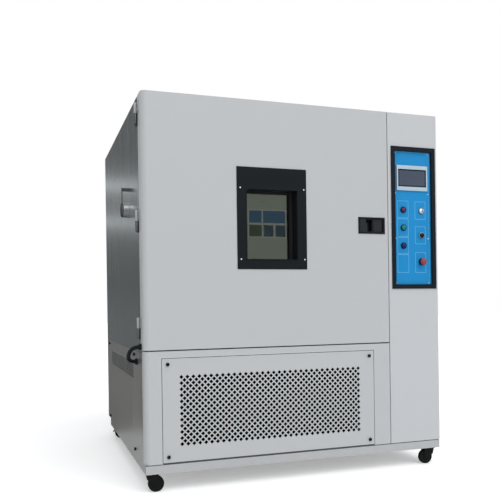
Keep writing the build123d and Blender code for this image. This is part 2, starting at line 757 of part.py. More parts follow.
HEATER_Y = COIL_Y0 + COIL_D / 2
HEATER_Z0 = COIL_Z0 + COIL_H
with BuildPart() as heater:
    with BuildSketch(side(ROOM_MID_X - HEATER_W / 2)):
        with Locations((HEATER_Y, HEATER_Z0 + HEATER_RISE / 2)):
            Rectangle(HEATER_BRACKET_W, HEATER_RISE)
    extrude(amount=HEATER_BRACKET_T)
    with BuildSketch(side(ROOM_MID_X + HEATER_W / 2)):
        with Locations((HEATER_Y, HEATER_Z0 + HEATER_RISE / 2)):
            Rectangle(HEATER_BRACKET_W, HEATER_RISE)
    extrude(amount=-HEATER_BRACKET_T)
    with BuildSketch(side(ROOM_MID_X)):
        with Locations((HEATER_Y, HEATER_Z0 + HEATER_RISE / 2)):
            with GridLocations(HEATER_PITCH, HEATER_PITCH, 2, 2):
                Circle(HEATER_R)
    extrude(amount=HEATER_W / 2, both=True)
save(heater, "heater")

# Shelves: two slotted trays with turned-down edges, on angle bars that hang from uprights
# along the side walls.
SHELF_Y0 = FRAME_Y + SHELF_SETBACK
SHELF_Y1 = DUCT_Y - SHELF_SETBACK
BAR_IN = RAIL_PLATE + RAIL_BAR
with BuildPart() as shelf_rails:
    with BuildSketch(front(SHELF_Y1)):
        for level in SHELF_LEVELS:
            for wall, way in ((ROOM_X0, 1), (ROOM_X1, -1)):
                top = ROOM_Z0 + level
                back = wall + way * RAIL_PLATE
                web = back + way * RAIL_PLATE
                rectangle(*sorted_pair(back, wall + way * BAR_IN, top - RAIL_PLATE, top))
                rectangle(*sorted_pair(back, web, top - RAIL_BAR, top))
    extrude(amount=SHELF_Y1 - SHELF_Y0)
    with BuildSketch(plan(ROOM_Z0)):
        for y in (SHELF_Y0 + UPRIGHT_INSET, SHELF_Y1 - UPRIGHT_INSET):
            for x in (ROOM_X0 + RAIL_PLATE / 2, ROOM_X1 - RAIL_PLATE / 2):
                with Locations((x, y)):
                    Rectangle(RAIL_PLATE, RAIL_BAR)
    extrude(amount=ROOM_H)
save(shelf_rails, "shelf_rails")

SHELF_X0 = ROOM_X0 + RAIL_PLATE * 2 + FIT
SHELF_X1 = ROOM_X1 - RAIL_PLATE * 2 - FIT
with BuildPart() as shelves:
    for level in SHELF_LEVELS:
        with BuildSketch(plan(ROOM_Z0 + level)):
            rectangle(SHELF_X0, SHELF_Y0, SHELF_X1, SHELF_Y1)
            with Locations((ROOM_MID_X, (SHELF_Y0 + SHELF_Y1) / 2)):
                with GridLocations(ROOM_W / (SHELF_SLOTS + 1), 1, SHELF_SLOTS, 1):
                    Rectangle(SHELF_SLOT_W, SHELF_SLOT_L, mode=Mode.SUBTRACT)
        extrude(amount=SHELF_T)
        with BuildSketch(plan(ROOM_Z0 + level + SHELF_T)):
            rectangle(SHELF_X0, SHELF_Y0, SHELF_X1, SHELF_Y0 + SHELF_T)
            rectangle(SHELF_X0, SHELF_Y1 - SHELF_T, SHELF_X1, SHELF_Y1)
        extrude(amount=SHELF_LIP)
save(shelves, "shelves")

# Machine compartment: the compressor on the floor pan, and the condenser behind the
# perforated panel with its shroud, fan and fan motor.
with BuildPart() as compressor:
    with BuildSketch(Plane(origin=(LEFT + COMPRESSOR_X, 0, 0), x_dir=(1, 0, 0), z_dir=(0, -1, 0))):
        with BuildLine():
            Polyline(
                (0, BAND_TOP + COMPRESSOR_FOOT),
                (COMPRESSOR_R, BAND_TOP + COMPRESSOR_FOOT),
                (COMPRESSOR_R, BAND_TOP + COMPRESSOR_WALL_H),
                *[(r, BAND_TOP + height) for r, height in COMPRESSOR_DOME],
                (0, BAND_TOP + COMPRESSOR_DOME[-1][1]),
                close=True,
            )
        make_face()
    revolve(axis=Axis((LEFT + COMPRESSOR_X, 0, 0), (0, 0, 1)))
    with BuildSketch(plan(BAND_TOP)):
        with Locations((LEFT + COMPRESSOR_X, 0)):
            with GridLocations(COMPRESSOR_FOOT_SPAN, COMPRESSOR_FOOT_SPAN, 2, 2):
                Rectangle(COMPRESSOR_FOOT * 2, COMPRESSOR_FOOT * 2)
    extrude(amount=COMPRESSOR_FOOT)
    with BuildSketch(plan(BAND_TOP + COMPRESSOR_FOOT)):
        with Locations((LEFT + COMPRESSOR_X, 0)):
            Rectangle(COMPRESSOR_BASE_W, COMPRESSOR_BASE_W)
    extrude(amount=COMPRESSOR_BASE_T)
save(compressor, "compressor")

CONDENSER_X0 = LEFT + CONDENSER_X - CONDENSER_W / 2
CONDENSER_Y0 = FRONT + FASCIA_DEPTH + CONDENSER_SETBACK
SHROUD_Y = CONDENSER_Y0 + CONDENSER_D
CONDENSER_MID_Z = BAND_TOP + CONDENSER_H / 2
CONDENSER_FAN_Y = SHROUD_Y + SHROUD_D / 2
with BuildPart() as condenser:
    with BuildSketch(front(CONDENSER_Y0)):
        rectangle(CONDENSER_X0, BAND_TOP, CONDENSER_X0 + CONDENSER_W, BAND_TOP + CONDENSER_H)
    extrude(amount=-CONDENSER_D)
    with BuildSketch(front(SHROUD_Y)):
        rectangle(CONDENSER_X0, BAND_TOP, CONDENSER_X0 + CONDENSER_W, BAND_TOP + CONDENSER_H)
        with Locations((LEFT + CONDENSER_X, CONDENSER_MID_Z)):
            Circle(CONDENSER_FAN_R + SHROUD_CLEAR, mode=Mode.SUBTRACT)
    extrude(amount=-SHROUD_D)
    with BuildSketch(front(SHROUD_Y + SHROUD_D)):
        with Locations((LEFT + CONDENSER_X, CONDENSER_MID_Z)):
            Circle(FAN_MOUNT_R)
            Rectangle(CONDENSER_W, FAN_MOUNT_BAR)
            Circle(SHAFT_R + RUN, mode=Mode.SUBTRACT)
    extrude(amount=-FAN_MOUNT_L)
save(condenser, "condenser")

with BuildPart() as condenser_fan:
    with BuildSketch(front(CONDENSER_FAN_Y + CONDENSER_HUB_L / 2)):
        with Locations((LEFT + CONDENSER_X, CONDENSER_MID_Z)):
            Circle(FAN_HUB_R)
    extrude(amount=CONDENSER_HUB_L)
    with BuildSketch(front(CONDENSER_FAN_Y)):
        with Locations((LEFT + CONDENSER_X, CONDENSER_MID_Z)):
            Circle(SHAFT_R)
    extrude(amount=-(SHROUD_D / 2 + FAN_MOUNT_L - FIT))
    for blade in range(FAN_BLADES):
        spoke = Plane(
            origin=(LEFT + CONDENSER_X, CONDENSER_FAN_Y, CONDENSER_MID_Z),
            x_dir=(0, 1, 0),
            z_dir=(1, 0, 0),
        ).rotated((0, 360 * blade / FAN_BLADES, 0))
        with BuildSketch(spoke):
            Rectangle(CONDENSER_BLADE_W, BLADE_T, rotation=BLADE_ANGLE)
        extrude(amount=CONDENSER_FAN_R)
save(condenser_fan, "condenser_fan")

# Cable port: a lined bore through the left wall with a collar outside and a flange inside,
# and a swing cover that hangs over the collar from a stud.
PORT_X = LEFT - PORT_COLLAR_L
COVER_X = PORT_X - FIT
PIVOT_Z = PORT_Z + COVER_ARM
with BuildPart() as port_sleeve:
    with BuildSketch(side(PORT_X)):
        with Locations((FRONT + PORT_Y, PORT_Z)):
            Circle(PORT_COLLAR_R)
    extrude(amount=PORT_COLLAR_L)
    with BuildSketch(side(LEFT)):
        with Locations((FRONT + PORT_Y, PORT_Z)):
            Circle(PORT_R + PORT_WALL)
    extrude(amount=ROOM_X0 - LEFT)
    with BuildSketch(side(ROOM_X0)):
        with Locations((FRONT + PORT_Y, PORT_Z)):
            Circle(PORT_FLANGE_R)
    extrude(amount=PORT_WALL)
    with BuildSketch(side(PORT_X)):
        with Locations((FRONT + PORT_Y, PORT_Z)):
            Circle(PORT_R)
    extrude(amount=ROOM_X0 + PORT_WALL - PORT_X, mode=Mode.SUBTRACT)
    with BuildSketch(side(LEFT)):
        with Locations((FRONT + PORT_Y, PIVOT_Z)):
            Circle(COVER_EYE_R)
    extrude(amount=-PORT_COLLAR_L)
    with BuildSketch(side(PORT_X)):
        with Locations((FRONT + PORT_Y, PIVOT_Z)):
            Circle(COVER_PIN_R)
    extrude(amount=-(FIT + COVER_T / 2))
save(port_sleeve, "port_sleeve")

with BuildPart() as port_cover:
    with BuildSketch(side(COVER_X)):
        with Locations((FRONT + PORT_Y, PORT_Z)):
            Circle(PORT_COLLAR_R)
    extrude(amount=-COVER_T)
    chamfer(port_cover.faces().sort_by(Axis.X)[0].edges(), COVER_T / 2)
    with BuildSketch(side(COVER_X)):
        with Locations((FRONT + PORT_Y, (PORT_Z + PIVOT_Z) / 2)):
            Rectangle(COVER_ARM_W, COVER_ARM)
        with Locations((FRONT + PORT_Y, PIVOT_Z)):
            Circle(COVER_EYE_R)
    extrude(amount=-COVER_T / 2)
    with BuildSketch(side(COVER_X)):
        with Locations((FRONT + PORT_Y, PIVOT_Z)):
            Circle(COVER_PIN_R + RUN)
    extrude(amount=-COVER_T, mode=Mode.SUBTRACT)
save(port_cover, "port_cover")

# Door: a painted outer tray, its insulating core, the stainless inner pan, the seal, and
# the window and latch set into it.
WINDOW_MID_X = LEFT + WINDOW_X
WINDOW_MID_Z = WINDOW_Z - WINDOW_DROP
SLEEVE_W = WINDOW_W + 2 * SLEEVE_T
SLEEVE_H = WINDOW_H + 2 * SLEEVE_T
LATCH_MID_X = LEFT + LATCH_X
CUP_W = LATCH_W - 2 * LATCH_RIM
CUP_H = LATCH_H - 2 * LATCH_RIM
DOOR_H = BODY_TOP - DOOR_BOTTOM
STRIKER_MID_X = LEFT + STRIKER_X


with BuildPart() as door_skin:
    with BuildSketch(plan(DOOR_BOTTOM)):
        rectangle(LEFT, FRONT, DOOR_RIGHT, FRONT + DOOR_T - DOOR_LINER_T - JOINT)
    extrude(amount=DOOR_H)
    left_edge = door_skin.edges().filter_by(Axis.Z).group_by(Axis.X)[0].sort_by(Axis.Y)[0]
    fillet(left_edge, EDGE_R)
    offset(amount=-SHEET, openings=door_skin.faces().sort_by(Axis.Y)[-1])
    with BuildSketch(front(FRONT)):
        with Locations((WINDOW_MID_X, WINDOW_MID_Z)):
            Rectangle(SLEEVE_W + 2 * JOINT, SLEEVE_H + 2 * JOINT)
        with Locations((LATCH_MID_X, LATCH_Z)):
            Rectangle(CUP_W + 2 * JOINT, CUP_H + 2 * JOINT)
    extrude(amount=-SHEET, mode=Mode.SUBTRACT)
    with BuildSketch(side(LEFT)):
        with Locations((FRONT + CONDUIT_TOP_Y, CONDUIT_TOP_Z)):
            Circle(GLAND_R)
    extrude(amount=-GLAND_L)
save(door_skin, "door_skin")

CORE_IN = SHEET + JOINT
with BuildPart() as door_core:
    with BuildSketch(plan(DOOR_BOTTOM + CORE_IN)):
        rectangle(
            LEFT + CORE_IN,
            FRONT + CORE_IN,
            DOOR_RIGHT - CORE_IN,
            FRONT + DOOR_T - DOOR_LINER_T - JOINT,
        )
    extrude(amount=DOOR_H - 2 * CORE_IN)
    left_edge = door_core.edges().filter_by(Axis.Z).group_by(Axis.X)[0].sort_by(Axis.Y)[0]
    fillet(left_edge, EDGE_R)
    with BuildSketch(front(FRONT)):
        with Locations((WINDOW_MID_X, WINDOW_MID_Z)):
            Rectangle(SLEEVE_W + 2 * JOINT, SLEEVE_H + 2 * JOINT)
    extrude(amount=-DOOR_T, mode=Mode.SUBTRACT)
    with BuildSketch(front(FRONT)):
        with Locations((LATCH_MID_X, LATCH_Z)):
            Rectangle(CUP_W + 2 * JOINT, CUP_H + 2 * JOINT)
    extrude(amount=-(LATCH_DEPTH + JOINT), mode=Mode.SUBTRACT)
    with BuildSketch(front(FRONT + DOOR_T)):
        with Locations((STRIKER_MID_X, LATCH_Z)):
            Circle(STRIKER_POCKET_R)
    extrude(amount=STRIKER_L + SEAM - SEAL_T, mode=Mode.SUBTRACT)
save(door_core, "door_core")

with BuildPart() as door_liner:
    with BuildSketch(front(FRONT + DOOR_T)):
        rectangle(LEFT, DOOR_BOTTOM, DOOR_RIGHT, BODY_TOP)
        with Locations((WINDOW_MID_X, WINDOW_MID_Z)):
            Rectangle(SLEEVE_W + 2 * JOINT, SLEEVE_H + 2 * JOINT, mode=Mode.SUBTRACT)
        with Locations((STRIKER_MID_X, LATCH_Z)):
            Circle(STRIKER_POCKET_R, mode=Mode.SUBTRACT)
    extrude(amount=DOOR_LINER_T)
save(door_liner, "door_liner")

SEAL_X0 = LEFT + SEAL_INSET
SEAL_X1 = DOOR_RIGHT - SEAL_INSET
SEAL_Z0 = DOOR_BOTTOM + SEAL_INSET
SEAL_Z1 = BODY_TOP - SEAL_INSET
with BuildPart() as door_seal:
    with BuildSketch(front(FRONT + DOOR_T)):
        rectangle(SEAL_X0, SEAL_Z0, SEAL_X1, SEAL_Z1)
        rectangle(
            SEAL_X0 + SEAL_W, SEAL_Z0 + SEAL_W, SEAL_X1 - SEAL_W, SEAL_Z1 - SEAL_W, mode=Mode.SUBTRACT
        )
    extrude(amount=-SEAL_T)
save(door_seal, "door_seal")

with BuildPart() as window_frame:
    with BuildSketch(front(FRONT)):
        with Locations((WINDOW_MID_X, WINDOW_Z)):
            Rectangle(WINDOW_PLATE_W, WINDOW_PLATE_H)
        with Locations((WINDOW_MID_X, WINDOW_MID_Z)):
            Rectangle(WINDOW_W, WINDOW_H, mode=Mode.SUBTRACT)
    extrude(amount=WINDOW_PROUD)
    with BuildSketch(front(FRONT)):
        with Locations((WINDOW_MID_X, WINDOW_MID_Z)):
            Rectangle(SLEEVE_W, SLEEVE_H)
            Rectangle(WINDOW_W, WINDOW_H, mode=Mode.SUBTRACT)
    extrude(amount=-DOOR_T)
save(window_frame, "window_frame")

PANE_Y = (FRONT + PANE_DEPTH, FRONT + DOOR_T - PANE_T - SLEEVE_T)
with BuildPart() as window_panes:
    for y in PANE_Y:
        with BuildSketch(front(y)):
            with Locations((WINDOW_MID_X, WINDOW_MID_Z)):
                Rectangle(WINDOW_W - 2 * FIT, WINDOW_H - 2 * FIT)
        extrude(amount=-PANE_T)
save(window_panes, "window_panes")

# Door latch: a moulded cup with a rim, open in the middle for the fingers, and a paddle
# that swings out on a pin along its right edge.
POCKET_X1 = LATCH_MID_X + CUP_W / 2 - LATCH_WALL
POCKET_X0 = POCKET_X1 - POCKET_W
POCKET_Z0 = LATCH_Z - CUP_H / 2 + LATCH_WALL
POCKET_Z1 = LATCH_Z + CUP_H / 2 - LATCH_WALL
PADDLE_PIN_X = POCKET_X1 - PADDLE_PIN_R - 2 * LATCH_PROUD
PADDLE_PIN_Y = FRONT + PADDLE_PIN_R
with BuildPart() as latch_cup:
    with BuildSketch(front(FRONT)):
        with Locations((LATCH_MID_X, LATCH_Z)):
            Rectangle(LATCH_W, LATCH_H)
    extrude(amount=LATCH_PROUD)
    with BuildSketch(front(FRONT)):
        with Locations((LATCH_MID_X, LATCH_Z)):
            Rectangle(CUP_W, CUP_H)
    extrude(amount=-LATCH_DEPTH)
    with BuildSketch(front(FRONT - LATCH_PROUD)):
        rectangle(POCKET_X0, POCKET_Z0, POCKET_X1, POCKET_Z1)
    extrude(amount=-(LATCH_PROUD + POCKET_DEPTH), mode=Mode.SUBTRACT)
    with BuildSketch(plan(POCKET_Z0 - PADDLE_PIN_IN - FIT)):
        with Locations((PADDLE_PIN_X, PADDLE_PIN_Y)):
            Circle(PADDLE_PIN_R + RUN)
    extrude(amount=POCKET_Z1 - POCKET_Z0 + 2 * (PADDLE_PIN_IN + FIT), mode=Mode.SUBTRACT)
save(latch_cup, "latch_cup")

with BuildPart() as latch_paddle:
    with BuildSketch(plan(POCKET_Z0 + PADDLE_GAP)):
        with Locations((PADDLE_PIN_X, PADDLE_PIN_Y)):
            Circle(PADDLE_PIN_R)
        rectangle(
            PADDLE_PIN_X - PADDLE_W,
            PADDLE_PIN_Y - PADDLE_T / 2,
            PADDLE_PIN_X,
            PADDLE_PIN_Y + PADDLE_T / 2,
        )
        rectangle(
            PADDLE_PIN_X - PADDLE_W,
            PADDLE_PIN_Y - PADDLE_T / 2,
            PADDLE_PIN_X - PADDLE_W + PADDLE_T,
            PADDLE_PIN_Y + PADDLE_T / 2 + PADDLE_LIP,
        )
    extrude(amount=POCKET_Z1 - POCKET_Z0 - 2 * PADDLE_GAP)
    with BuildSketch(plan(POCKET_Z0 - PADDLE_PIN_IN)):
        with Locations((PADDLE_PIN_X, PADDLE_PIN_Y)):
            Circle(PADDLE_PIN_R)
    extrude(amount=POCKET_Z1 - POCKET_Z0 + 2 * PADDLE_PIN_IN)
save(latch_paddle, "latch_paddle")

# Lift-off hinges: each cabinet leaf carries the lower knuckle with its pin, and each door
# leaf the upper knuckle that sits over it.
with BuildPart() as cabinet_hinges:
    for z in HINGE_Z:
        with BuildSketch(plan(z - HINGE_H / 2)):
            with Locations((HINGE_X, HINGE_Y)):
                Circle(HINGE_R)
            rectangle(LEFT - HINGE_LEAF_T, HINGE_Y, LEFT, HINGE_Y + HINGE_LEAF_W)
        extrude(amount=HINGE_H / 2)
        with BuildSketch(plan(z)):
            with Locations((HINGE_X, HINGE_Y)):
                Circle(HINGE_PIN_R)
        extrude(amount=HINGE_PIN_L)
save(cabinet_hinges, "cabinet_hinges")

with BuildPart() as door_hinges:
    for z in HINGE_Z:
        with BuildSketch(plan(z + FIT)):
            with Locations((HINGE_X, HINGE_Y)):
                Circle(HINGE_R)
            rectangle(LEFT - HINGE_LEAF_T, HINGE_Y - HINGE_LEAF_W, LEFT, HINGE_Y - HINGE_BACK)
            rectangle(HINGE_X, HINGE_Y - HINGE_LEAF_T * 2, LEFT, HINGE_Y - HINGE_LEAF_T)
        extrude(amount=HINGE_H / 2)
        with BuildSketch(plan(z + FIT)):
            with Locations((HINGE_X, HINGE_Y)):
                Circle(HINGE_PIN_R + RUN)
        extrude(amount=HINGE_PIN_L + FIT, mode=Mode.SUBTRACT)
save(door_hinges, "door_hinges")

# Conduit: a short flexible tube that loops out of the door's side and back into the body.
CONDUIT_X = LEFT - GLAND_L - FIT
CONDUIT_OUT_X = LEFT - CONDUIT_REACH + CONDUIT_D / 2
CONDUIT_ROUTE = [
    (CONDUIT_X, FRONT + CONDUIT_LOW_Y, CONDUIT_LOW_Z),
    (CONDUIT_OUT_X, FRONT + CONDUIT_LOW_Y, CONDUIT_LOW_Z),
    (CONDUIT_OUT_X, FRONT + CONDUIT_TOP_Y, CONDUIT_TOP_Z),
    (CONDUIT_X, FRONT + CONDUIT_TOP_Y, CONDUIT_TOP_Z),
]
with BuildPart() as door_conduit:
    with BuildLine():
        FilletPolyline(*CONDUIT_ROUTE, radius=CONDUIT_BEND)
    with BuildSketch(side(CONDUIT_X)):
        with Locations((FRONT + CONDUIT_LOW_Y, CONDUIT_LOW_Z)):
            Circle(CONDUIT_D / 2)
    sweep()
save(door_conduit, "door_conduit")

# Control column: a painted tray with a rounded right edge, the black bezel let into it,
# the operating panel behind it, the touch screen and the row of switches.
BEZEL_MID_X = LEFT + BEZEL_X
BEZEL_IN_W = BEZEL_W - 2 * BEZEL_RIM
BEZEL_IN_H = BEZEL_H - 2 * BEZEL_RIM
BEZEL_THROUGH_W = BEZEL_IN_W + 2 * BEZEL_WALL
BEZEL_THROUGH_H = BEZEL_IN_H + 2 * BEZEL_WALL
with BuildPart() as column_shell:
    with BuildSketch(plan(BAND_TOP)):
        rectangle(COLUMN_X, FRONT, RIGHT, FRONT + FASCIA_DEPTH)
    extrude(amount=BODY_TOP - BAND_TOP)
    right_edge = column_shell.edges().filter_by(Axis.Z).group_by(Axis.X)[-1].sort_by(Axis.Y)[0]
    fillet(right_edge, COLUMN_R)
    offset(amount=-SHEET, openings=column_shell.faces().sort_by(Axis.Y)[-1])
    with BuildSketch(front(FRONT)):
        with Locations((BEZEL_MID_X, BEZEL_Z)):
            Rectangle(BEZEL_THROUGH_W + 2 * JOINT, BEZEL_THROUGH_H + 2 * JOINT)
    extrude(amount=-SHEET, mode=Mode.SUBTRACT)
save(column_shell, "column_shell")

with BuildPart() as control_bezel:
    with BuildSketch(front(FRONT)):
        with Locations((BEZEL_MID_X, BEZEL_Z)):
            Rectangle(BEZEL_W, BEZEL_H)
            Rectangle(BEZEL_IN_W, BEZEL_IN_H, mode=Mode.SUBTRACT)
    extrude(amount=BEZEL_PROUD)
    with BuildSketch(front(FRONT)):
        with Locations((BEZEL_MID_X, BEZEL_Z)):
            Rectangle(BEZEL_THROUGH_W, BEZEL_THROUGH_H)
            Rectangle(BEZEL_IN_W, BEZEL_IN_H, mode=Mode.SUBTRACT)
    extrude(amount=-PANEL_DEPTH)
save(control_bezel, "control_bezel")

PUSH_SPOTS = [(SWITCH_LEFT_X, z) for z in SWITCH_LEFT_Z] + [(SWITCH_RIGHT_X, SWITCH_RIGHT_Z[1])]
KEY_SPOT = (SWITCH_RIGHT_X, SWITCH_RIGHT_Z[0])
STOP_SPOT = (SWITCH_RIGHT_X, STOP_Z)
SWITCH_SPOTS = [(LEFT + x, z) for x, z in PUSH_SPOTS + [KEY_SPOT, STOP_SPOT]]
with BuildPart() as control_panel:
    with BuildSketch(front(PANEL_Y)):
        with Locations((BEZEL_MID_X, BEZEL_Z)):
            Rectangle(BEZEL_THROUGH_W, BEZEL_THROUGH_H)
        with Locations(SWITCH_SPOTS):
            Circle(STEM_R + RUN, mode=Mode.SUBTRACT)
    extrude(amount=-PANEL_T)
save(control_panel, "control_panel")

with BuildPart() as switch_collars:
    with BuildSketch(front(PANEL_Y)):
        with Locations(SWITCH_SPOTS):
            Circle(COLLAR_R)
            Circle(CAP_R + RUN, mode=Mode.SUBTRACT)
    extrude(amount=COLLAR_H)
save(switch_collars, "switch_collars")

with BuildPart() as screen_bezel:
    with BuildSketch(front(PANEL_Y)):
        with Locations((LEFT + SCREEN_X, SCREEN_Z)):
            Rectangle(SCREEN_BEZEL_W, SCREEN_BEZEL_H)
    extrude(amount=SCREEN_PROUD)
    with BuildSketch(front(PANEL_Y - SCREEN_PROUD)):
        with Locations((LEFT + SCREEN_X, SCREEN_Z)):
            Rectangle(SCREEN_W, SCREEN_H)
    extrude(amount=-SCREEN_T, mode=Mode.SUBTRACT)
save(screen_bezel, "screen_bezel")

with BuildPart() as touch_screen:
    with BuildSketch(front(PANEL_Y - SCREEN_PROUD + SCREEN_T)):
        with Locations((LEFT + SCREEN_X, SCREEN_Z)):
            Rectangle(SCREEN_W, SCREEN_H)
    extrude(amount=SCREEN_T - SCREEN_SUNK)
save(touch_screen, "touch_screen")

PUSH_NAMES = ("red_button", "green_button", "dark_button", "round_button")
for name, (x, z) in zip(PUSH_NAMES, PUSH_SPOTS):
    with BuildPart() as button:
        with BuildSketch(front(PANEL_Y - PRESS - FIT)):
            with Locations((LEFT + x, z)):
                Circle(CAP_R)
        extrude(amount=COLLAR_H + CAP_PROUD - PRESS - FIT)
        with BuildSketch(front(PANEL_Y - PRESS - FIT)):
            with Locations((LEFT + x, z)):
                Circle(STEM_R)
        extrude(amount=-STEM_L)
    save(button, name)

with BuildPart() as key_switch:
    with BuildSketch(front(PANEL_Y - FIT)):
        with Locations((LEFT + KEY_SPOT[0], KEY_SPOT[1])):
            Circle(CAP_R)
    extrude(amount=COLLAR_H)
    with BuildSketch(front(PANEL_Y - FIT)):
        with Locations((LEFT + KEY_SPOT[0], KEY_SPOT[1])):
            Circle(STEM_R)
    extrude(amount=-STEM_L)
    with BuildSketch(front(PANEL_Y - COLLAR_H)):
        with Locations((LEFT + KEY_SPOT[0], KEY_SPOT[1])):
            Rectangle(KEY_T, KEY_W)
    extrude(amount=KEY_OUT - COLLAR_H)
save(key_switch, "key_switch")

STOP_BACK_Y = PANEL_Y - STOP_OUT + STOP_CAP
with BuildPart() as emergency_stop:
    with BuildSketch(front(STOP_BACK_Y)):
        with Locations((LEFT + STOP_SPOT[0], STOP_SPOT[1])):
            Circle(STOP_R)
    extrude(amount=STOP_CAP)
    chamfer(emergency_stop.faces().sort_by(Axis.Y)[0].edges(), STOP_BEVEL)
    with BuildSketch(front(STOP_BACK_Y)):
        with Locations((LEFT + STOP_SPOT[0], STOP_SPOT[1])):
            Circle(STEM_R)
    extrude(amount=-(STOP_OUT - STOP_CAP + STEM_L))
save(emergency_stop, "emergency_stop")

# Control gear on a mounting plate inside the column.
GEAR_X0 = COLUMN_X + GEAR_INSET
with BuildPart() as control_gear:
    with BuildSketch(side(GEAR_X0)):
        rectangle(FRAME_Y + GEAR_INSET, BAND_TOP, REAR - GEAR_END, BODY_TOP - GEAR_END)
    extrude(amount=GEAR_PLATE_T)
    with BuildSketch(side(GEAR_X0 + GEAR_PLATE_T)):
        with Locations((0, (BAND_TOP + BODY_TOP) / 2)):
            with GridLocations(GEAR_STEP_Y, GEAR_STEP_Z, 3, 4):
                Rectangle(GEAR_MODULE_W, GEAR_MODULE_H)
    extrude(amount=GEAR_MODULE_D)
save(control_gear, "control_gear")
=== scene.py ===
import math

import bmesh
import bpy
from mathutils import Matrix, Vector


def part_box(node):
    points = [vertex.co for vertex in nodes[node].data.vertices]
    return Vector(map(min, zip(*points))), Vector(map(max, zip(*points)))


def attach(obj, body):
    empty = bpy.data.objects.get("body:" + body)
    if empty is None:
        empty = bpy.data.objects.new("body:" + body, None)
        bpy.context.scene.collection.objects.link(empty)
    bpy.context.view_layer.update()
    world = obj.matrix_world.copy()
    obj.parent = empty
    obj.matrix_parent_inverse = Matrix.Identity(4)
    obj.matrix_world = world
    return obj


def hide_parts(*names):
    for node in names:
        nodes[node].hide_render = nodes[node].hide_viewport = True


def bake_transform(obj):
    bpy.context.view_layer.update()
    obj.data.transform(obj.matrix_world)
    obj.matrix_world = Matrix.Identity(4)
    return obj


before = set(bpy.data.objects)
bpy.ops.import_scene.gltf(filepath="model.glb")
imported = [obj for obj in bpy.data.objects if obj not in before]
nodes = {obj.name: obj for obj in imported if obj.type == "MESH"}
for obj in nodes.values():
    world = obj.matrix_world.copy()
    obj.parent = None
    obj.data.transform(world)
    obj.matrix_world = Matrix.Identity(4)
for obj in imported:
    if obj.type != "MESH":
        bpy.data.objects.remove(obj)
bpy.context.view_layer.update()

# Places are given in millimetres right of the body's left side, behind its front face and
# above the floor, as seen by someone who stands before the chamber.
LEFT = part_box("left_shell")[0].x
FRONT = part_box("base_frame")[0].y
WIDTH = (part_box("base_frame")[1].x - LEFT) * 1000
DEPTH = (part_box("rear_panel")[1].y - FRONT) * 1000
OUT = (0, -1, 0)
SIDE = (-1, 0, 0)
BACK = (0, 1, 0)
UP = (0, 0, 1)
CORNERS = ("front_left", "front_right", "rear_left", "rear_right")


def at(x, y, z):
    """A point of the shared frame, in metres, from its place on the chamber in millimetres."""
    return Vector((LEFT + x / 1000, FRONT + y / 1000, z / 1000))


def place(point):
    """The place on the chamber, in millimetres, of a point of the shared frame."""
    return (point[0] - LEFT) * 1000, (point[1] - FRONT) * 1000, point[2] * 1000


# The camera stands left of the chamber, a little below its middle, and looks along its side.
# Its focal length and the row of its level line are in pixels of a square picture.
STAND = (-483.5, -2961.7, 858.3)
YAW, PITCH, ROLL = math.radians(18.57), math.radians(-0.148), math.radians(-0.808)
PICTURE, FOCAL, LEVEL_ROW = 500, 651.5, 305.75
SENSOR = 36
camera = bpy.data.objects.new("camera", bpy.data.cameras.new("camera"))
bpy.context.scene.collection.objects.link(camera)
ahead = Vector((math.sin(YAW) * math.cos(PITCH), math.cos(YAW) * math.cos(PITCH), math.sin(PITCH)))
level = Vector((math.cos(YAW), -math.sin(YAW), 0))
above = level.cross(ahead)
across = level * math.cos(ROLL) + above * math.sin(ROLL)
upright = above * math.cos(ROLL) - level * math.sin(ROLL)
camera.matrix_world = Matrix.Translation(at(*STAND)) @ Matrix(
    (across, upright, -ahead)
).transposed().to_4x4()
camera.data.sensor_width = SENSOR
camera.data.lens = SENSOR * FOCAL / PICTURE
camera.data.shift_y = (LEVEL_ROW - PICTURE / 2) / PICTURE
camera.data.clip_start = 0.05
bpy.context.scene.camera = camera
bpy.context.scene.view_settings.view_transform = "Standard"


# Materials
NOISE_LOW, NOISE_HIGH = 0.3, 0.7


def shade(colour, factor):
    """A colour made lighter or darker, with full alpha."""
    return [min(1.0, c * factor) for c in colour[:3]] + [1.0]


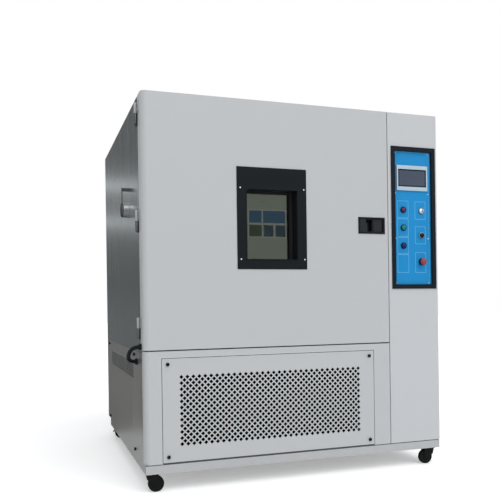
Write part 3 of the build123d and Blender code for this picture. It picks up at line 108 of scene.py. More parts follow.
def material(
    name, colour, rough, metal=0.0, vary=0.04, scale=(4, 4, 4), rough_vary=0.05,
    bump=0.0, grain=(700, 700, 700), detail=4.0, **sockets
):
    """A procedural surface: slow changes of colour and gloss, and a relief stretched by its grain."""
    made = bpy.data.materials.new(name)
    made.use_nodes = True
    tree = made.node_tree
    shader = tree.nodes["Principled BSDF"]
    shader.inputs["Metallic"].default_value = metal
    for socket, value in sockets.items():
        shader.inputs[socket.replace("_", " ").title().replace("Ior", "IOR")].default_value = value
    coords = tree.nodes.new("ShaderNodeTexCoord")

    def noise(stretch, depth):
        mapping = tree.nodes.new("ShaderNodeMapping")
        mapping.inputs["Scale"].default_value = stretch
        texture = tree.nodes.new("ShaderNodeTexNoise")
        texture.inputs["Scale"].default_value = 1.0
        texture.inputs["Detail"].default_value = depth
        tree.links.new(coords.outputs["Object"], mapping.inputs["Vector"])
        tree.links.new(mapping.outputs["Vector"], texture.inputs["Vector"])
        return texture.outputs["Fac"]

    slow, fine = noise(scale, 3.0), noise(grain, detail)
    both = tree.nodes.new("ShaderNodeMath")
    both.operation = "MULTIPLY_ADD"
    both.inputs[1].default_value = 0.5
    tree.links.new(slow, both.inputs[0])
    half = tree.nodes.new("ShaderNodeMath")
    half.operation = "MULTIPLY"
    half.inputs[1].default_value = 0.5
    tree.links.new(fine, half.inputs[0])
    tree.links.new(half.outputs[0], both.inputs[2])
    ramp = tree.nodes.new("ShaderNodeValToRGB")
    ramp.color_ramp.elements[0].position = NOISE_LOW
    ramp.color_ramp.elements[1].position = NOISE_HIGH
    ramp.color_ramp.elements[0].color = shade(colour, 1 - vary)
    ramp.color_ramp.elements[1].color = shade(colour, 1 + vary)
    tree.links.new(both.outputs[0], ramp.inputs["Fac"])
    tree.links.new(ramp.outputs["Color"], shader.inputs["Base Color"])
    spread = tree.nodes.new("ShaderNodeMapRange")
    spread.inputs["From Min"].default_value = NOISE_LOW
    spread.inputs["From Max"].default_value = NOISE_HIGH
    spread.inputs["To Min"].default_value = max(0.02, rough - rough_vary)
    spread.inputs["To Max"].default_value = min(1.0, rough + rough_vary)
    tree.links.new(both.outputs[0], spread.inputs["Value"])
    tree.links.new(spread.outputs["Result"], shader.inputs["Roughness"])
    if bump:
        relief = tree.nodes.new("ShaderNodeBump")
        relief.inputs["Distance"].default_value = bump / 1000
        relief.inputs["Strength"].default_value = 1.0
        tree.links.new(fine, relief.inputs["Height"])
        tree.links.new(relief.outputs["Normal"], shader.inputs["Normal"])
    return made


PAINT = material("paint_front", (0.495, 0.508, 0.522), 0.42, vary=0.012, scale=(0.9, 0.9, 0.7),
                 bump=0.02, grain=(260, 260, 260), specular_ior_level=0.35)
COLUMN = material("paint_column", (0.535, 0.548, 0.565), 0.42, vary=0.012, scale=(0.9, 0.9, 0.7),
                  bump=0.02, grain=(260, 260, 260), specular_ior_level=0.35)
BAND = material("paint_frame", (0.45, 0.46, 0.47), 0.46, vary=0.02, scale=(1.5, 1.5, 3),
                bump=0.02, grain=(260, 260, 260), specular_ior_level=0.35)
BRUSHED = material("brushed_side", (0.32, 0.345, 0.352), 0.24, 0.95, vary=0.15, scale=(2, 24, 0.5),
                   rough_vary=0.05, bump=0.004, grain=(420, 420, 3), detail=6)
BRUSHED_LOW = material("brushed_low", (0.36, 0.362, 0.355), 0.36, 0.95, vary=0.12,
                       scale=(2, 24, 0.5), rough_vary=0.05, bump=0.004, grain=(420, 420, 3), detail=6)
BOSS_GREY = material("port_boss", (0.095, 0.10, 0.104), 0.6, vary=0.08, scale=(40, 40, 40), bump=0.01,
                     specular_ior_level=0.1)
PORT_STEEL = material("port_steel", (0.34, 0.35, 0.36), 0.24, 1.0, vary=0.05, scale=(40, 40, 40),
                      bump=0.003, grain=(900, 900, 900))
GALVANISED = material("galvanised", (0.52, 0.53, 0.54), 0.42, 0.8, vary=0.10, scale=(22, 22, 22),
                      rough_vary=0.1, bump=0.004, grain=(60, 60, 60))
TOP_SHEET = material("top_sheet", (0.42, 0.43, 0.44), 0.5, 0.6, vary=0.06, scale=(12, 12, 12),
                     rough_vary=0.08, bump=0.004, grain=(60, 60, 60), specular_tint=(0.6, 0.6, 0.6, 1))
STAINLESS = material("stainless", (0.58, 0.59, 0.60), 0.3, 1.0, vary=0.05, scale=(3, 3, 3),
                     rough_vary=0.08, bump=0.004, grain=(3, 3, 500), detail=6)
ROUND_STEEL = material("round_steel", (0.62, 0.63, 0.64), 0.22, 1.0, vary=0.03, scale=(40, 40, 40),
                       bump=0.003, grain=(900, 900, 900))
CHROME = material("chrome", (0.78, 0.79, 0.81), 0.1, 1.0, vary=0.02, scale=(60, 60, 60),
                  rough_vary=0.03)
# A dark steel, used for the port's lid and, on the cabinet's hinge leaves, as painted shade.
DARK_STEEL_AND_SHADE = material("dark_steel_and_shade", (0.10, 0.104, 0.11), 0.36, 0.85, vary=0.10, scale=(60, 60, 60),
                      bump=0.01, grain=(1200, 1200, 1200), specular_tint=(0.3, 0.3, 0.3, 1))
HINGE_STEEL = material("hinge_steel", (0.40, 0.41, 0.42), 0.32, 0.8, vary=0.06, scale=(40, 40, 40),
                       bump=0.004)
FOAM = material("foam_board", (0.82, 0.76, 0.58), 0.95, vary=0.08, scale=(30, 30, 30), bump=0.3,
                grain=(350, 350, 350))
# A black filter foam, whose near-black tone also serves as painted shade.
FILTER_AND_SHADE = material("filter_foam_and_shade", (0.006, 0.006, 0.007), 1.0, vary=0.4, scale=(90, 90, 90), bump=0.5,
                  grain=(500, 500, 500), specular_ior_level=0.05)
BLACK = material("black_moulding", (0.008, 0.012, 0.017), 0.42, vary=0.10, scale=(12, 12, 12),
                 bump=0.02, grain=(1500, 1500, 1500), specular_ior_level=0.08)
PLATE_BLACK = material("window_plate", (0.010, 0.0125, 0.0145), 0.36, vary=0.08, scale=(5, 5, 5),
                       bump=0.01, grain=(900, 900, 900), specular_ior_level=0.06)
PADDLE_BLACK = material("latch_plate", (0.020, 0.022, 0.025), 0.38, vary=0.08, scale=(12, 12, 12),
                        bump=0.015, grain=(1200, 1200, 1200), specular_ior_level=0.12)
PIT = material("latch_pit", (0.011, 0.012, 0.015), 0.6, vary=0.2, scale=(30, 30, 30), bump=0.02,
               specular_ior_level=0.1)
RUBBER = material("seal_rubber", (0.012, 0.013, 0.014), 0.75, vary=0.12, scale=(30, 30, 30), bump=0.05,
                  grain=(700, 700, 700), specular_ior_level=0.15)
# A dark grey for strips set into joints and grooves: painted shade.
GROOVE_SHADE_GREY = material("joint_strip", (0.075, 0.076, 0.078), 0.7, vary=0.10, scale=(9, 9, 9), bump=0.03,
                      specular_ior_level=0.15)
NYLON = material("caster_nylon", (0.006, 0.006, 0.0065), 0.42, vary=0.15, scale=(30, 30, 30), bump=0.03,
                 specular_ior_level=0.1)
TREAD = material("caster_tread", (0.007, 0.007, 0.0075), 0.62, vary=0.2, scale=(40, 40, 40), bump=0.06,
                 specular_ior_level=0.1)
BLUE = material("panel_blue", (0.012, 0.256, 0.578), 0.4, vary=0.05, scale=(3, 3, 5), bump=0.01,
                grain=(900, 900, 900), specular_ior_level=0.15)
PRINT = material("panel_print", (0.14, 0.45, 0.74), 0.5, vary=0.05, scale=(40, 40, 40))
SILVER = material("screen_silver", (0.42, 0.53, 0.60), 0.4, 0.15, vary=0.04, scale=(12, 12, 12), bump=0.01,
                  specular_ior_level=0.25)
SCREEN = material("screen_glass", (0.068, 0.085, 0.122), 0.14, vary=0.05, scale=(6, 6, 6),
                  specular_ior_level=0.12)
RED = material("button_red", (0.085, 0.010, 0.065), 0.25, vary=0.06, scale=(60, 60, 60),
               specular_ior_level=0.3)
STOP_RED = material("stop_red", (0.27, 0.05, 0.065), 0.34, vary=0.06, scale=(60, 60, 60),
                    specular_ior_level=0.3)
GREEN = material("button_green", (0.003, 0.19, 0.155), 0.25, vary=0.06, scale=(60, 60, 60),
                 specular_ior_level=0.3)
NAVY = material("button_navy", (0.006, 0.014, 0.085), 0.25, vary=0.1, scale=(60, 60, 60),
                specular_ior_level=0.25)
COLLAR_DARK = material("collar_dark", (0.006, 0.010, 0.055), 0.35, vary=0.1, scale=(60, 60, 60), bump=0.01,
                       specular_ior_level=0.12)
ENAMEL = material("machine_black", (0.03, 0.03, 0.032), 0.35, vary=0.12, scale=(15, 15, 15), bump=0.04)
FINS = material("fin_stock", (0.55, 0.56, 0.57), 0.36, 0.9, vary=0.12, scale=(8, 8, 8), bump=0.4,
                grain=(450, 2, 2))
GEAR = material("gear_plastic", (0.42, 0.43, 0.43), 0.5, vary=0.08, scale=(9, 9, 9), bump=0.03)


def glass_material():
    """Tinted glass with a faint haze, which mirrors the room about as a coated pane does."""
    made = bpy.data.materials.new("window_glass")
    made.use_nodes = True
    tree = made.node_tree
    shader = tree.nodes["Principled BSDF"]
    shader.inputs["Base Color"].default_value = (0.20, 0.24, 0.19, 1)
    shader.inputs["Transmission Weight"].default_value = 1.0
    shader.inputs["IOR"].default_value = 1.75
    coords = tree.nodes.new("ShaderNodeTexCoord")
    texture = tree.nodes.new("ShaderNodeTexNoise")
    texture.inputs["Scale"].default_value = 9.0
    haze = tree.nodes.new("ShaderNodeMapRange")
    haze.inputs["To Min"].default_value = 0.0
    haze.inputs["To Max"].default_value = 0.03
    tree.links.new(coords.outputs["Object"], texture.inputs["Vector"])
    tree.links.new(texture.outputs["Fac"], haze.inputs["Value"])
    tree.links.new(haze.outputs["Result"], shader.inputs["Roughness"])
    return made


GLASS = glass_material()


# Mesh helpers
def new_object(name, bm, *surfaces):
    """An object in the scene with a bmesh's mesh, which is freed, and with its materials."""
    mesh = bpy.data.meshes.new(name)
    bm.to_mesh(mesh)
    bm.free()
    made = bpy.data.objects.new(name, mesh)
    bpy.context.scene.collection.objects.link(made)
    for surface in surfaces:
        mesh.materials.append(surface)
    return made


def thicken(piece, thickness):
    """Gives a sheet its thickness, in millimetres, on the inner side."""
    solid = piece.modifiers.new("sheet", "SOLIDIFY")
    solid.thickness = thickness / 1000
    solid.offset = -1


def finish_piece(
    name, bm, surface, body, replaces=(), bevel=0.0, angle=40, thickness=0.0
):
    """Turns a bmesh into a named piece with its material, riding on a body of the frame."""
    bmesh.ops.recalc_face_normals(bm, faces=bm.faces)
    piece = new_object(name, bm, *(surface if isinstance(surface, list) else [surface]))
    mesh = piece.data
    mesh.polygons.foreach_set("use_smooth", [True] * len(mesh.polygons))
    mesh.set_sharp_from_angle(angle=math.radians(angle))
    if thickness:
        thicken(piece, thickness)
    if bevel:
        round_off(piece, bevel, angle)
    if body:
        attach(piece, body)
    if replaces:
        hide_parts(*replaces)
    return piece


def round_off(piece, width, angle=40):
    """Rounds a piece's sharp edges, by a width in millimetres."""
    edge = piece.modifiers.new("edges", "BEVEL")
    edge.width = width / 1000
    edge.segments = 3
    edge.limit_method = "ANGLE"
    edge.angle_limit = math.radians(angle)
    edge.harden_normals = True


def block(bm, a, b):
    """A block between two corners."""
    lo, hi = at(*a), at(*b)
    shape = Matrix.Translation((lo + hi) / 2) @ Matrix.Diagonal((*(hi - lo), 1))
    bmesh.ops.create_cube(bm, size=1, matrix=shape)


def lathe(bm, profile, origin, axis, steps=32, lobes=0, depth=0.0, index=0):
    """A profile of (radius, distance along the axis) turned about an axis; lobes scallop its rim."""
    axis = Vector(axis).normalized()
    first = axis.cross(Vector((0, 0, 1)) if abs(axis.z) < 0.9 else Vector((1, 0, 0))).normalized()
    second = axis.cross(first)
    rings = []
    for radius, along in profile:
        centre = origin + axis * along / 1000
        if radius <= 0:
            rings.append([bm.verts.new(centre)])
            continue
        ring = []
        for i in range(steps):
            a = 2 * math.pi * i / steps
            r = radius
            if lobes and radius > 3 * depth:
                r -= depth * (0.5 - 0.5 * math.cos(lobes * a))
            ring.append(bm.verts.new(centre + (first * math.cos(a) + second * math.sin(a)) * r / 1000))
        rings.append(ring)
    for one, other in zip(rings, rings[1:]):
        for i in range(steps):
            j = (i + 1) % steps
            near, far = (one[i % len(one)], one[j % len(one)]), (other[j % len(other)], other[i % len(other)])
            corners = list(dict.fromkeys(near + far))
            if len(corners) > 2:
                bm.faces.new(corners).material_index = index
    for ring in (rings[0], rings[-1]):
        if len(ring) > 1:
            bm.faces.new(ring).material_index = index


def loop(x0, z0, x1, z1, radius, steps=5):
    """A rectangle with rounded corners as points (x, z)."""
    points = []
    for cx, cz, start in (
        (x1 - radius, z1 - radius, 0), (x0 + radius, z1 - radius, 90),
        (x0 + radius, z0 + radius, 180), (x1 - radius, z0 + radius, 270),
    ):
        for i in range(steps + 1):
            a = math.radians(start + 90 * i / steps)
            points.append((cx + radius * math.cos(a), cz + radius * math.sin(a)))
    return points


def band(bm, outline, sections, close=True):
    """A moulding round an outline: each section is (grown outwards by, depth), or (x, z, depth)."""
    cx = sum(p[0] for p in outline) / len(outline)
    cz = sum(p[1] for p in outline) / len(outline)
    x_half = max(abs(p[0] - cx) for p in outline)
    z_half = max(abs(p[1] - cz) for p in outline)
    rings = []
    for *grow, y in sections:
        sx, sz = (x_half + grow[0]) / x_half, (z_half + grow[-1]) / z_half
        rings.append([bm.verts.new(at(cx + (x - cx) * sx, y, cz + (z - cz) * sz)) for x, z in outline])
    pairs = list(zip(rings, rings[1:]))
    if close:
        pairs.append((rings[-1], rings[0]))
    count = len(outline)
    for one, other in pairs:
        for i in range(count):
            j = (i + 1) % count
            bm.faces.new((one[i], one[j], other[j], other[i]))
    return rings


def slab(bm, outline, y0, y1):
    """A flat plate with the given outline between two depths."""
    for ring in band(bm, outline, [(0, y0), (0, y1)], close=False):
        bm.faces.new(ring)


def paint(surface, *names):
    """Gives carried-over nodes their material."""
    for name in names:
        nodes[name].data.materials.clear()
        nodes[name].data.materials.append(surface)


def soften(width, *names):
    """Rounds the sharp edges of carried-over nodes by a little, without touching their meshes."""
    for name in names:
        weld = nodes[name].modifiers.new("weld", "WELD")
        weld.merge_threshold = 0.00002
        round_off(nodes[name], width, 50)


# Conduit: one flexible tube from the lower side panel out to the left and back into the door.
CONDUIT = 19.0
CONDUIT_REACH = -49.5
GLAND_X = place(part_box("door_conduit")[1])[0]
LOW_END, HIGH_END = (205, 588), (74, 666)
route = [
    (GLAND_X, *LOW_END), (CONDUIT_REACH, *LOW_END), (CONDUIT_REACH, *HIGH_END), (GLAND_X, *HIGH_END),
]
line = bpy.data.curves.new("conduit_line", "CURVE")
line.dimensions = "3D"
line.resolution_u = 60
spline = line.splines.new("NURBS")
spline.points.add(len(route) - 1)
for point, spot in zip(spline.points, route):
    point.co = (*at(*spot), 1)
spline.order_u = 3
spline.use_endpoint_u = True
carrier = bpy.data.objects.new("conduit_line", line)
bpy.context.scene.collection.objects.link(carrier)
trace = bpy.data.meshes.new_from_object(carrier)
path = [v.co.copy() for v in trace.vertices]
bpy.data.objects.remove(carrier)
RIB_PITCH, RIB_DEPTH, RIB_SIDES = 4.2, 0.9, 20
crosswise = Vector(SIDE).cross(at(0, *HIGH_END) - at(0, *LOW_END)).normalized()
bm = bmesh.new()
run, rings = 0.0, []
for i, spot in enumerate(path):
    run += (spot - path[i - 1]).length * 1000 if i else 0
    along = (path[min(i + 1, len(path) - 1)] - path[max(i - 1, 0)]).normalized()
    outward = along.cross(crosswise)
    radius = CONDUIT / 2 - RIB_DEPTH * (0.5 + 0.5 * math.cos(2 * math.pi * run / RIB_PITCH))
    rings.append([
        bm.verts.new(spot + (outward * math.cos(a) + crosswise * math.sin(a)) * radius / 1000)
        for a in (2 * math.pi * k / RIB_SIDES for k in range(RIB_SIDES))
    ])
for one, other in zip(rings, rings[1:]):
    for k in range(RIB_SIDES):
        m = (k + 1) % RIB_SIDES
        bm.faces.new((one[k], one[m], other[m], other[k]))
for ring in (rings[0], rings[-1]):
    bm.faces.new(ring)
conduit = finish_piece("conduit", bm, BLACK, None, replaces=["door_conduit"])
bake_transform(conduit)
for name, end, body in (
    ("conduit_gland_low", LOW_END, "cabinet"), ("conduit_gland_high", HIGH_END, "door"),
):
    bm = bmesh.new()
    lathe(bm, [(16.8, 0.1), (16.8, 5.0), (15.6, 5.6)], at(0, *end), SIDE, steps=6)
    lathe(bm, [(15.2, 5.0), (15.2, 9.6), (14.6, 10.8), (11.6, 12.6), (9.2, 13.0)], at(0, *end), SIDE,
          lobes=12, depth=0.7)
    finish_piece(name, bm, BLACK, body)

# Perforated panel: staggered diamond holes, cut as lattice cells that share their corners.
COLUMNS, ROWS = 33, 12
HOLES_X, HOLES_Z = (171.5, 1086.0), (214.0, 525.0)
STEP_X = (HOLES_X[1] - HOLES_X[0]) / (COLUMNS - 1)
STEP_Z = (HOLES_Z[1] - HOLES_Z[0]) / (ROWS - 1)
HOLE = 0.355  # a hole's half diagonal, as a share of a step
panel_low, panel_high = (place(p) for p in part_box("vent_panel"))
bm = bmesh.new()
corners = {}


def grid_vertex(i, j):
    """The lattice corner i half-steps across and j half-steps up from the first hole."""
    if (i, j) not in corners:
        x, z = HOLES_X[0] + i * STEP_X / 2, HOLES_Z[0] + j * STEP_Z / 2
        corners[i, j] = bm.verts.new(at(x, panel_low[1], z))
    return corners[i, j]


cells = [(2 * i, 2 * j) for i in range(COLUMNS) for j in range(ROWS)]
cells += [(2 * i + 1, 2 * j + 1) for i in range(COLUMNS - 1) for j in range(ROWS - 1)]
for i, j in cells:
    x, z = HOLES_X[0] + i * STEP_X / 2, HOLES_Z[0] + j * STEP_Z / 2
    outer = [grid_vertex(i + di, j + dj) for di, dj in ((1, 0), (0, 1), (-1, 0), (0, -1))]
    hole = [
        bm.verts.new(at(x + dx * STEP_X * HOLE, panel_low[1], z + dz * STEP_Z * HOLE))
        for dx, dz in ((1, 0), (0, 1), (-1, 0), (0, -1))
    ]
    for k in range(4):
        bm.faces.new((outer[k], outer[(k + 1) % 4], hole[(k + 1) % 4], hole[k]))
last_i, last_j = 2 * (COLUMNS - 1), 2 * (ROWS - 1)
for i in range(0, last_i, 2):
    bm.faces.new((grid_vertex(i, -1), grid_vertex(i + 2, -1), grid_vertex(i + 1, 0)))
    bm.faces.new((grid_vertex(i + 2, last_j + 1), grid_vertex(i, last_j + 1), grid_vertex(i + 1, last_j)))
for j in range(0, last_j, 2):
    bm.faces.new((grid_vertex(-1, j + 2), grid_vertex(-1, j), grid_vertex(0, j + 1)))
    bm.faces.new((grid_vertex(last_i + 1, j), grid_vertex(last_i + 1, j + 2), grid_vertex(last_i, j + 1)))
for i, j, di, dj in ((0, 0, -1, -1), (last_i, 0, 1, -1), (0, last_j, -1, 1), (last_i, last_j, 1, 1)):
    bm.faces.new((grid_vertex(i + di, j), grid_vertex(i, j + dj), grid_vertex(i + di, j + dj)))
panel_edge = [
    (panel_low[0], panel_low[2]), (panel_high[0], panel_low[2]),
    (panel_high[0], panel_high[2]), (panel_low[0], panel_high[2]),
]
rim = [bm.verts.new(at(x, panel_low[1], z)) for x, z in panel_edge]
edge_i = [-1, *range(0, last_i + 1, 2), last_i + 1]
edge_j = [-1, *range(0, last_j + 1, 2), last_j + 1]
low_side = [grid_vertex(i, -1) for i in edge_i]
high_side = [grid_vertex(i, last_j + 1) for i in edge_i]
left_side = [grid_vertex(-1, j) for j in edge_j]
right_side = [grid_vertex(last_i + 1, j) for j in edge_j]
bm.faces.new([rim[0], rim[1], *reversed(low_side)])
bm.faces.new([rim[1], rim[2], *reversed(right_side)])
bm.faces.new([rim[2], rim[3], *high_side])
bm.faces.new([rim[3], rim[0], *left_side])
for face in bm.faces:
    face.normal_update()
    if face.normal.y > 0:
        face.normal_flip()
grille = new_object("vent_grille", bm, PAINT)
thicken(grille, panel_high[1] - panel_low[1])
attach(grille, "cabinet")
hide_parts("vent_panel")

# A dark rubber strip in the joint round the perforated panel: painted shade in the gap.
bm = bmesh.new()
band(bm, panel_edge, [(0.2, 1.4), (2.3, 1.4), (2.3, 0.9), (0.2, 0.9)])
finish_piece("vent_gap_shade", bm, RUBBER, "cabinet")

# Pleated black filter behind the holes; its near-black tone is also painted shade for the dark machine bay
# behind them.
bm = bmesh.new()
PLEAT, PLEAT_DEEP, FILTER_Y, FILTER_EDGE = 9.0, 5.0, 14, 30
pleats = int((HOLES_X[1] - HOLES_X[0] + 2 * FILTER_EDGE) / PLEAT)
strip = []
for k in range(pleats + 1):
    x = HOLES_X[0] - FILTER_EDGE + k * PLEAT
    y = FILTER_Y + (PLEAT_DEEP if k % 2 else 0)
    heights = HOLES_Z[0] - FILTER_EDGE, HOLES_Z[1] + FILTER_EDGE
    strip.append([bm.verts.new(at(x, y, z)) for z in heights])
for one, other in zip(strip, strip[1:]):
    bm.faces.new((one[0], other[0], other[1], one[1]))
finish_piece("vent_filter_and_shade", bm, FILTER_AND_SHADE, "cabinet", thickness=2.0, angle=20)

# Thumb screws with knurled rims on the perforated panel and the lower side panel.
KNOB_INSET = 26
KNOB_SIDE_Y, KNOB_SIDE_Z = (285, 1340), (148, 618)
KNOB = [(4.0, -1.4), (4.0, 1.5), (7.6, 1.5), (8.5, 2.4), (8.5, 6.8), (7.2, 8.4), (3.2, 9.0), (2.8, 8.0),
        (0, 7.8)]
bm = bmesh.new()
for x in (panel_low[0] + KNOB_INSET, panel_high[0] - KNOB_INSET):
    for z in (panel_low[2] + KNOB_INSET, panel_high[2] - KNOB_INSET):
        lathe(bm, KNOB, at(x, 0, z), OUT, steps=40, lobes=20, depth=0.5)
for y in KNOB_SIDE_Y:
    for z in KNOB_SIDE_Z:
        lathe(bm, KNOB, at(0, y, z), SIDE, steps=40, lobes=20, depth=0.5)
finish_piece("thumb_screws", bm, BLACK, "cabinet", replaces=["panel_knobs"])

# Pressed lips over the louvre slots of the lower side panel, and a near-black backing behind them: painted
# shade in the slots.
LOUVRE_Y, LOUVRE_Z, LOUVRE_STEP, LOUVRE_PITCH, LOUVRE_HALF = 790, 534, 310, 11.5, 147
LIP = ((0.0, 5.4), (-1.2, 4.2), (-1.2, 3.5), (0.0, 3.3))
bm = bmesh.new()
for column in (-1, 0, 1):
    for row in range(-3, 4):
        y, z = LOUVRE_Y + LOUVRE_STEP * column, LOUVRE_Z + LOUVRE_PITCH * row
        ends = [
            [bm.verts.new(at(x, y + half, z + rise)) for x, rise in LIP]
            for half in (-LOUVRE_HALF, LOUVRE_HALF)
        ]
        for k in range(4):
            m = (k + 1) % 4
            bm.faces.new((ends[0][k], ends[0][m], ends[1][m], ends[1][k]))
        for end in ends:
            bm.faces.new(end)
finish_piece("side_louvre_lips", bm, BRUSHED_LOW, "cabinet", angle=20)
# Painted shade: a near-black strip behind the slots.
bm = bmesh.new()
block(bm, (3.5, 330, 480), (5.5, 1250, 588))
finish_piece("louvre_shade_backing", bm, PIT, "cabinet")

# Dark grey strips in the groove along the top of the base band, under the perforated panel and in the side's
# seam: painted shade that darkens these joints.
bm = bmesh.new()
block(bm, (3, 4.5, 124.2), (WIDTH - 9, 7.9, 127.9))
block(bm, (panel_low[0], -0.25, 128.2), (panel_high[0], -0.05, panel_low[2] - 0.3))
block(bm, (0.5, 64, 637.7), (1.3, DEPTH - 2, 639.9))
finish_piece("base_groove_shade", bm, GROOVE_SHADE_GREY, "cabinet")

# Window: screws, the glazing gasket, and a lip round the opening.
PLATE_FACE = -3
SCREW = [(0, 2.6), (0.9, 2.6), (1.1, 1.9), (1.8, 2.7), (3.0, 2.2), (3.9, 1.0), (4.2, 0.0), (4.2, -0.6)]
bm = bmesh.new()
for x, z in ((469.5, 1415), (798.5, 1417), (470.5, 1073), (799, 1073)):
    lathe(bm, SCREW, at(x, PLATE_FACE, z), OUT, steps=20)
finish_piece("window_screws", bm, CHROME, "door")
pane_low, pane_high = (place(p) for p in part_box("window_panes"))
glass_edge = loop(pane_low[0], pane_low[2], pane_high[0], pane_high[2], 4)
bm = bmesh.new()
band(bm, glass_edge, [(-0.2, pane_low[1]), (-0.2, pane_low[1] - 9), (-11, -4, pane_low[1] - 7),
                      (-17, -7, pane_low[1] - 3), (-17, -7, pane_low[1] - 0.2)])
finish_piece("window_gasket", bm, RUBBER, "door", angle=60)
bm = bmesh.new()
band(bm, glass_edge, [(0.6, -3.0), (0.6, -4.6), (2.4, -5.0), (4.2, -4.4), (4.6, -3.0)])
finish_piece("window_lip", bm, PLATE_BLACK, "door", angle=60)

# Latch: a rim round its cup, a split cover plate on the left, and the paddle's finger edge.
cup_low, cup_high = (place(p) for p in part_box("latch_cup"))
paddle_low, paddle_high = (place(p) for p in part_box("latch_paddle"))
bm = bmesh.new()
band(bm, loop(cup_low[0] + 5, cup_low[2] + 5, cup_high[0] - 5, cup_high[2] - 5, 3),
     [(3.6, -2.0), (3.6, -4.4), (2.2, -5.4), (0, -5.4), (-1.4, -4.0), (-1.4, -2.0)])
finish_piece("latch_rim", bm, BLACK, "door", angle=60)
bm = bmesh.new()
slab(bm, loop(cup_low[0] + 8, cup_low[2] + 8, cup_low[0] + 42, cup_high[2] - 8, 3), -2.0, -3.8)
slab(bm, loop(cup_low[0] + 36, cup_low[2] + 8, cup_low[0] + 50, cup_high[2] - 30, 2), -2.0, -3.4)
finish_piece("latch_cover", bm, PADDLE_BLACK, "door", bevel=0.8)
bm = bmesh.new()
block(bm, (paddle_low[0] + 0.6, paddle_low[1] - 0.7, paddle_low[2] + 1),
      (paddle_low[0] + 10, paddle_low[1] + 0.2, paddle_high[2] - 1))
finish_piece("paddle_grip", bm, PIT, "latch_paddle", bevel=0.3)

# Control column: outlines round the switches, panel screws, and the screen's dark border.
PANEL = place(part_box("control_panel")[0])[1]
PRINTED = PANEL - 0.25
bm = bmesh.new()
for x0, x1, bounds in (
    (1329, 1396, ((1296, 1387), (1199, 1293), (1109, 1196), (1011, 1106))),
    (1435, 1499, ((1291, 1385), (1162, 1254), (1011, 1118))),
):
    for z0, z1 in bounds:
        band(bm, loop(x0, z0, x1, z1, 4, 3), [(0, PANEL), (0, PRINTED), (-2.0, PRINTED), (-2.0, PANEL)])
band(bm, loop(1314, 949, 1521, 1642, 3, 3), [(0, PANEL), (0, PRINTED), (-1.6, PRINTED), (-1.6, PANEL)])
finish_piece("switch_outlines", bm, PRINT, "cabinet")
PANEL_SCREW = [(0, 1.6), (1.6, 1.6), (2.6, 1.1), (3.0, 0.2), (3.0, -0.5)]
bm = bmesh.new()
for x in (1320, 1515):
    for z in (1425, 1190, 956, 1636):
        lathe(bm, PANEL_SCREW, at(x, PANEL, z), OUT, steps=16)
finish_piece("panel_screws", bm, CHROME, "cabinet")
screen_low, screen_high = (place(p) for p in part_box("touch_screen"))
bm = bmesh.new()
band(bm, loop(screen_low[0], screen_low[2], screen_high[0], screen_high[2], 1.5, 3),
     [(0, screen_low[1]), (0, screen_low[1] - 0.9), (-5.5, screen_low[1] - 0.9), (-6.5, screen_low[1] - 0.1)])
finish_piece("screen_border", bm, BLACK, "cabinet")

# Switches: collars, domed caps, the lock with its key, and the emergency stop's mushroom head.
LEFT_X, RIGHT_X = 1365, 1473
KEY_Z, STOP_Z = 1336, 1069
spots = {
    "red_button": (LEFT_X, 1339, RED, "button_red"),
    "green_button": (LEFT_X, 1246, GREEN, "button_green"),
    "dark_button": (LEFT_X, 1152, NAVY, "button_dark"),
    "round_button": (RIGHT_X, 1207, BLACK, "black_plastic"),
}
DARK_RING, BRIGHT_RING = 0, 1
COLLAR = [(13.0, -0.2), (13.0, 6.0), (13.7, 6.8), (15.2, 6.6), (16.4, 5.0), (16.6, 0.0), (13.0, -0.2)]
SKIRT = [(14.0, 0.1), (18.4, 0.1), (18.6, 6.0), (17.6, 9.4), (14.0, 9.6), (14.0, 0.1)]
bm = bmesh.new()
for x, z in [spot[:2] for spot in spots.values()] + [(RIGHT_X, KEY_Z), (RIGHT_X, STOP_Z)]:
    tone = DARK_RING if x == LEFT_X or z == STOP_Z else BRIGHT_RING
    lathe(bm, COLLAR, at(x, PANEL, z), OUT, steps=40, index=tone)
lathe(bm, SKIRT, at(RIGHT_X, PANEL, STOP_Z), OUT, steps=40)
finish_piece("switch_rings", bm, [COLLAR_DARK, PORT_STEEL], "cabinet", replaces=["switch_collars"])
CAP = [(0, 10.0), (5.0, 9.8), (8.9, 9.1), (11.3, 7.9), (12.4, 6.2), (12.6, 3.4), (6.0, 3.4), (6.0, -18.6),
       (0, -18.6)]
for name, (x, z, surface, slot) in spots.items():
    bm = bmesh.new()
    lathe(bm, CAP, at(x, PANEL, z), OUT, steps=40)
    finish_piece(f"{name}_cap", bm, surface, name, replaces=[name])
LOCK = [(0, 6.0), (3.0, 6.0), (8.5, 5.8), (10.8, 4.8), (11.4, 3.0), (11.4, 0.4), (6.0, 0.4), (6.0, -21.6),
        (0, -21.6)]
KEY_BOW = [(0, -1.2), (8.6, -1.2), (9.6, -0.6), (9.6, 0.6), (8.6, 1.2), (0, 1.2)]
bm = bmesh.new()
lathe(bm, LOCK, at(RIGHT_X, PANEL, KEY_Z), OUT, steps=40)
block(bm, (RIGHT_X - 1.1, PANEL - 14, KEY_Z - 3.5), (RIGHT_X + 1.1, PANEL - 5.5, KEY_Z + 3.5))
lathe(bm, KEY_BOW, at(RIGHT_X, PANEL - 14.5, KEY_Z), (1, 0, 0), steps=28)
finish_piece("key_and_lock", bm, CHROME, "key_switch", replaces=["key_switch"], bevel=0.3)
MUSHROOM = [(0, 28.0), (7.0, 27.6), (12.5, 26.2), (16.6, 23.6), (18.7, 20.2), (19.0, 17.4), (18.0, 15.4),
            (13.0, 15.0), (9.0, 13.0), (6.0, 9.0), (6.0, -22.0), (0, -22.0)]
bm = bmesh.new()
lathe(bm, MUSHROOM, at(RIGHT_X, PANEL, STOP_Z), OUT, steps=60, lobes=30, depth=0.35)
finish_piece("stop_mushroom", bm, STOP_RED, "emergency_stop", replaces=["emergency_stop"])

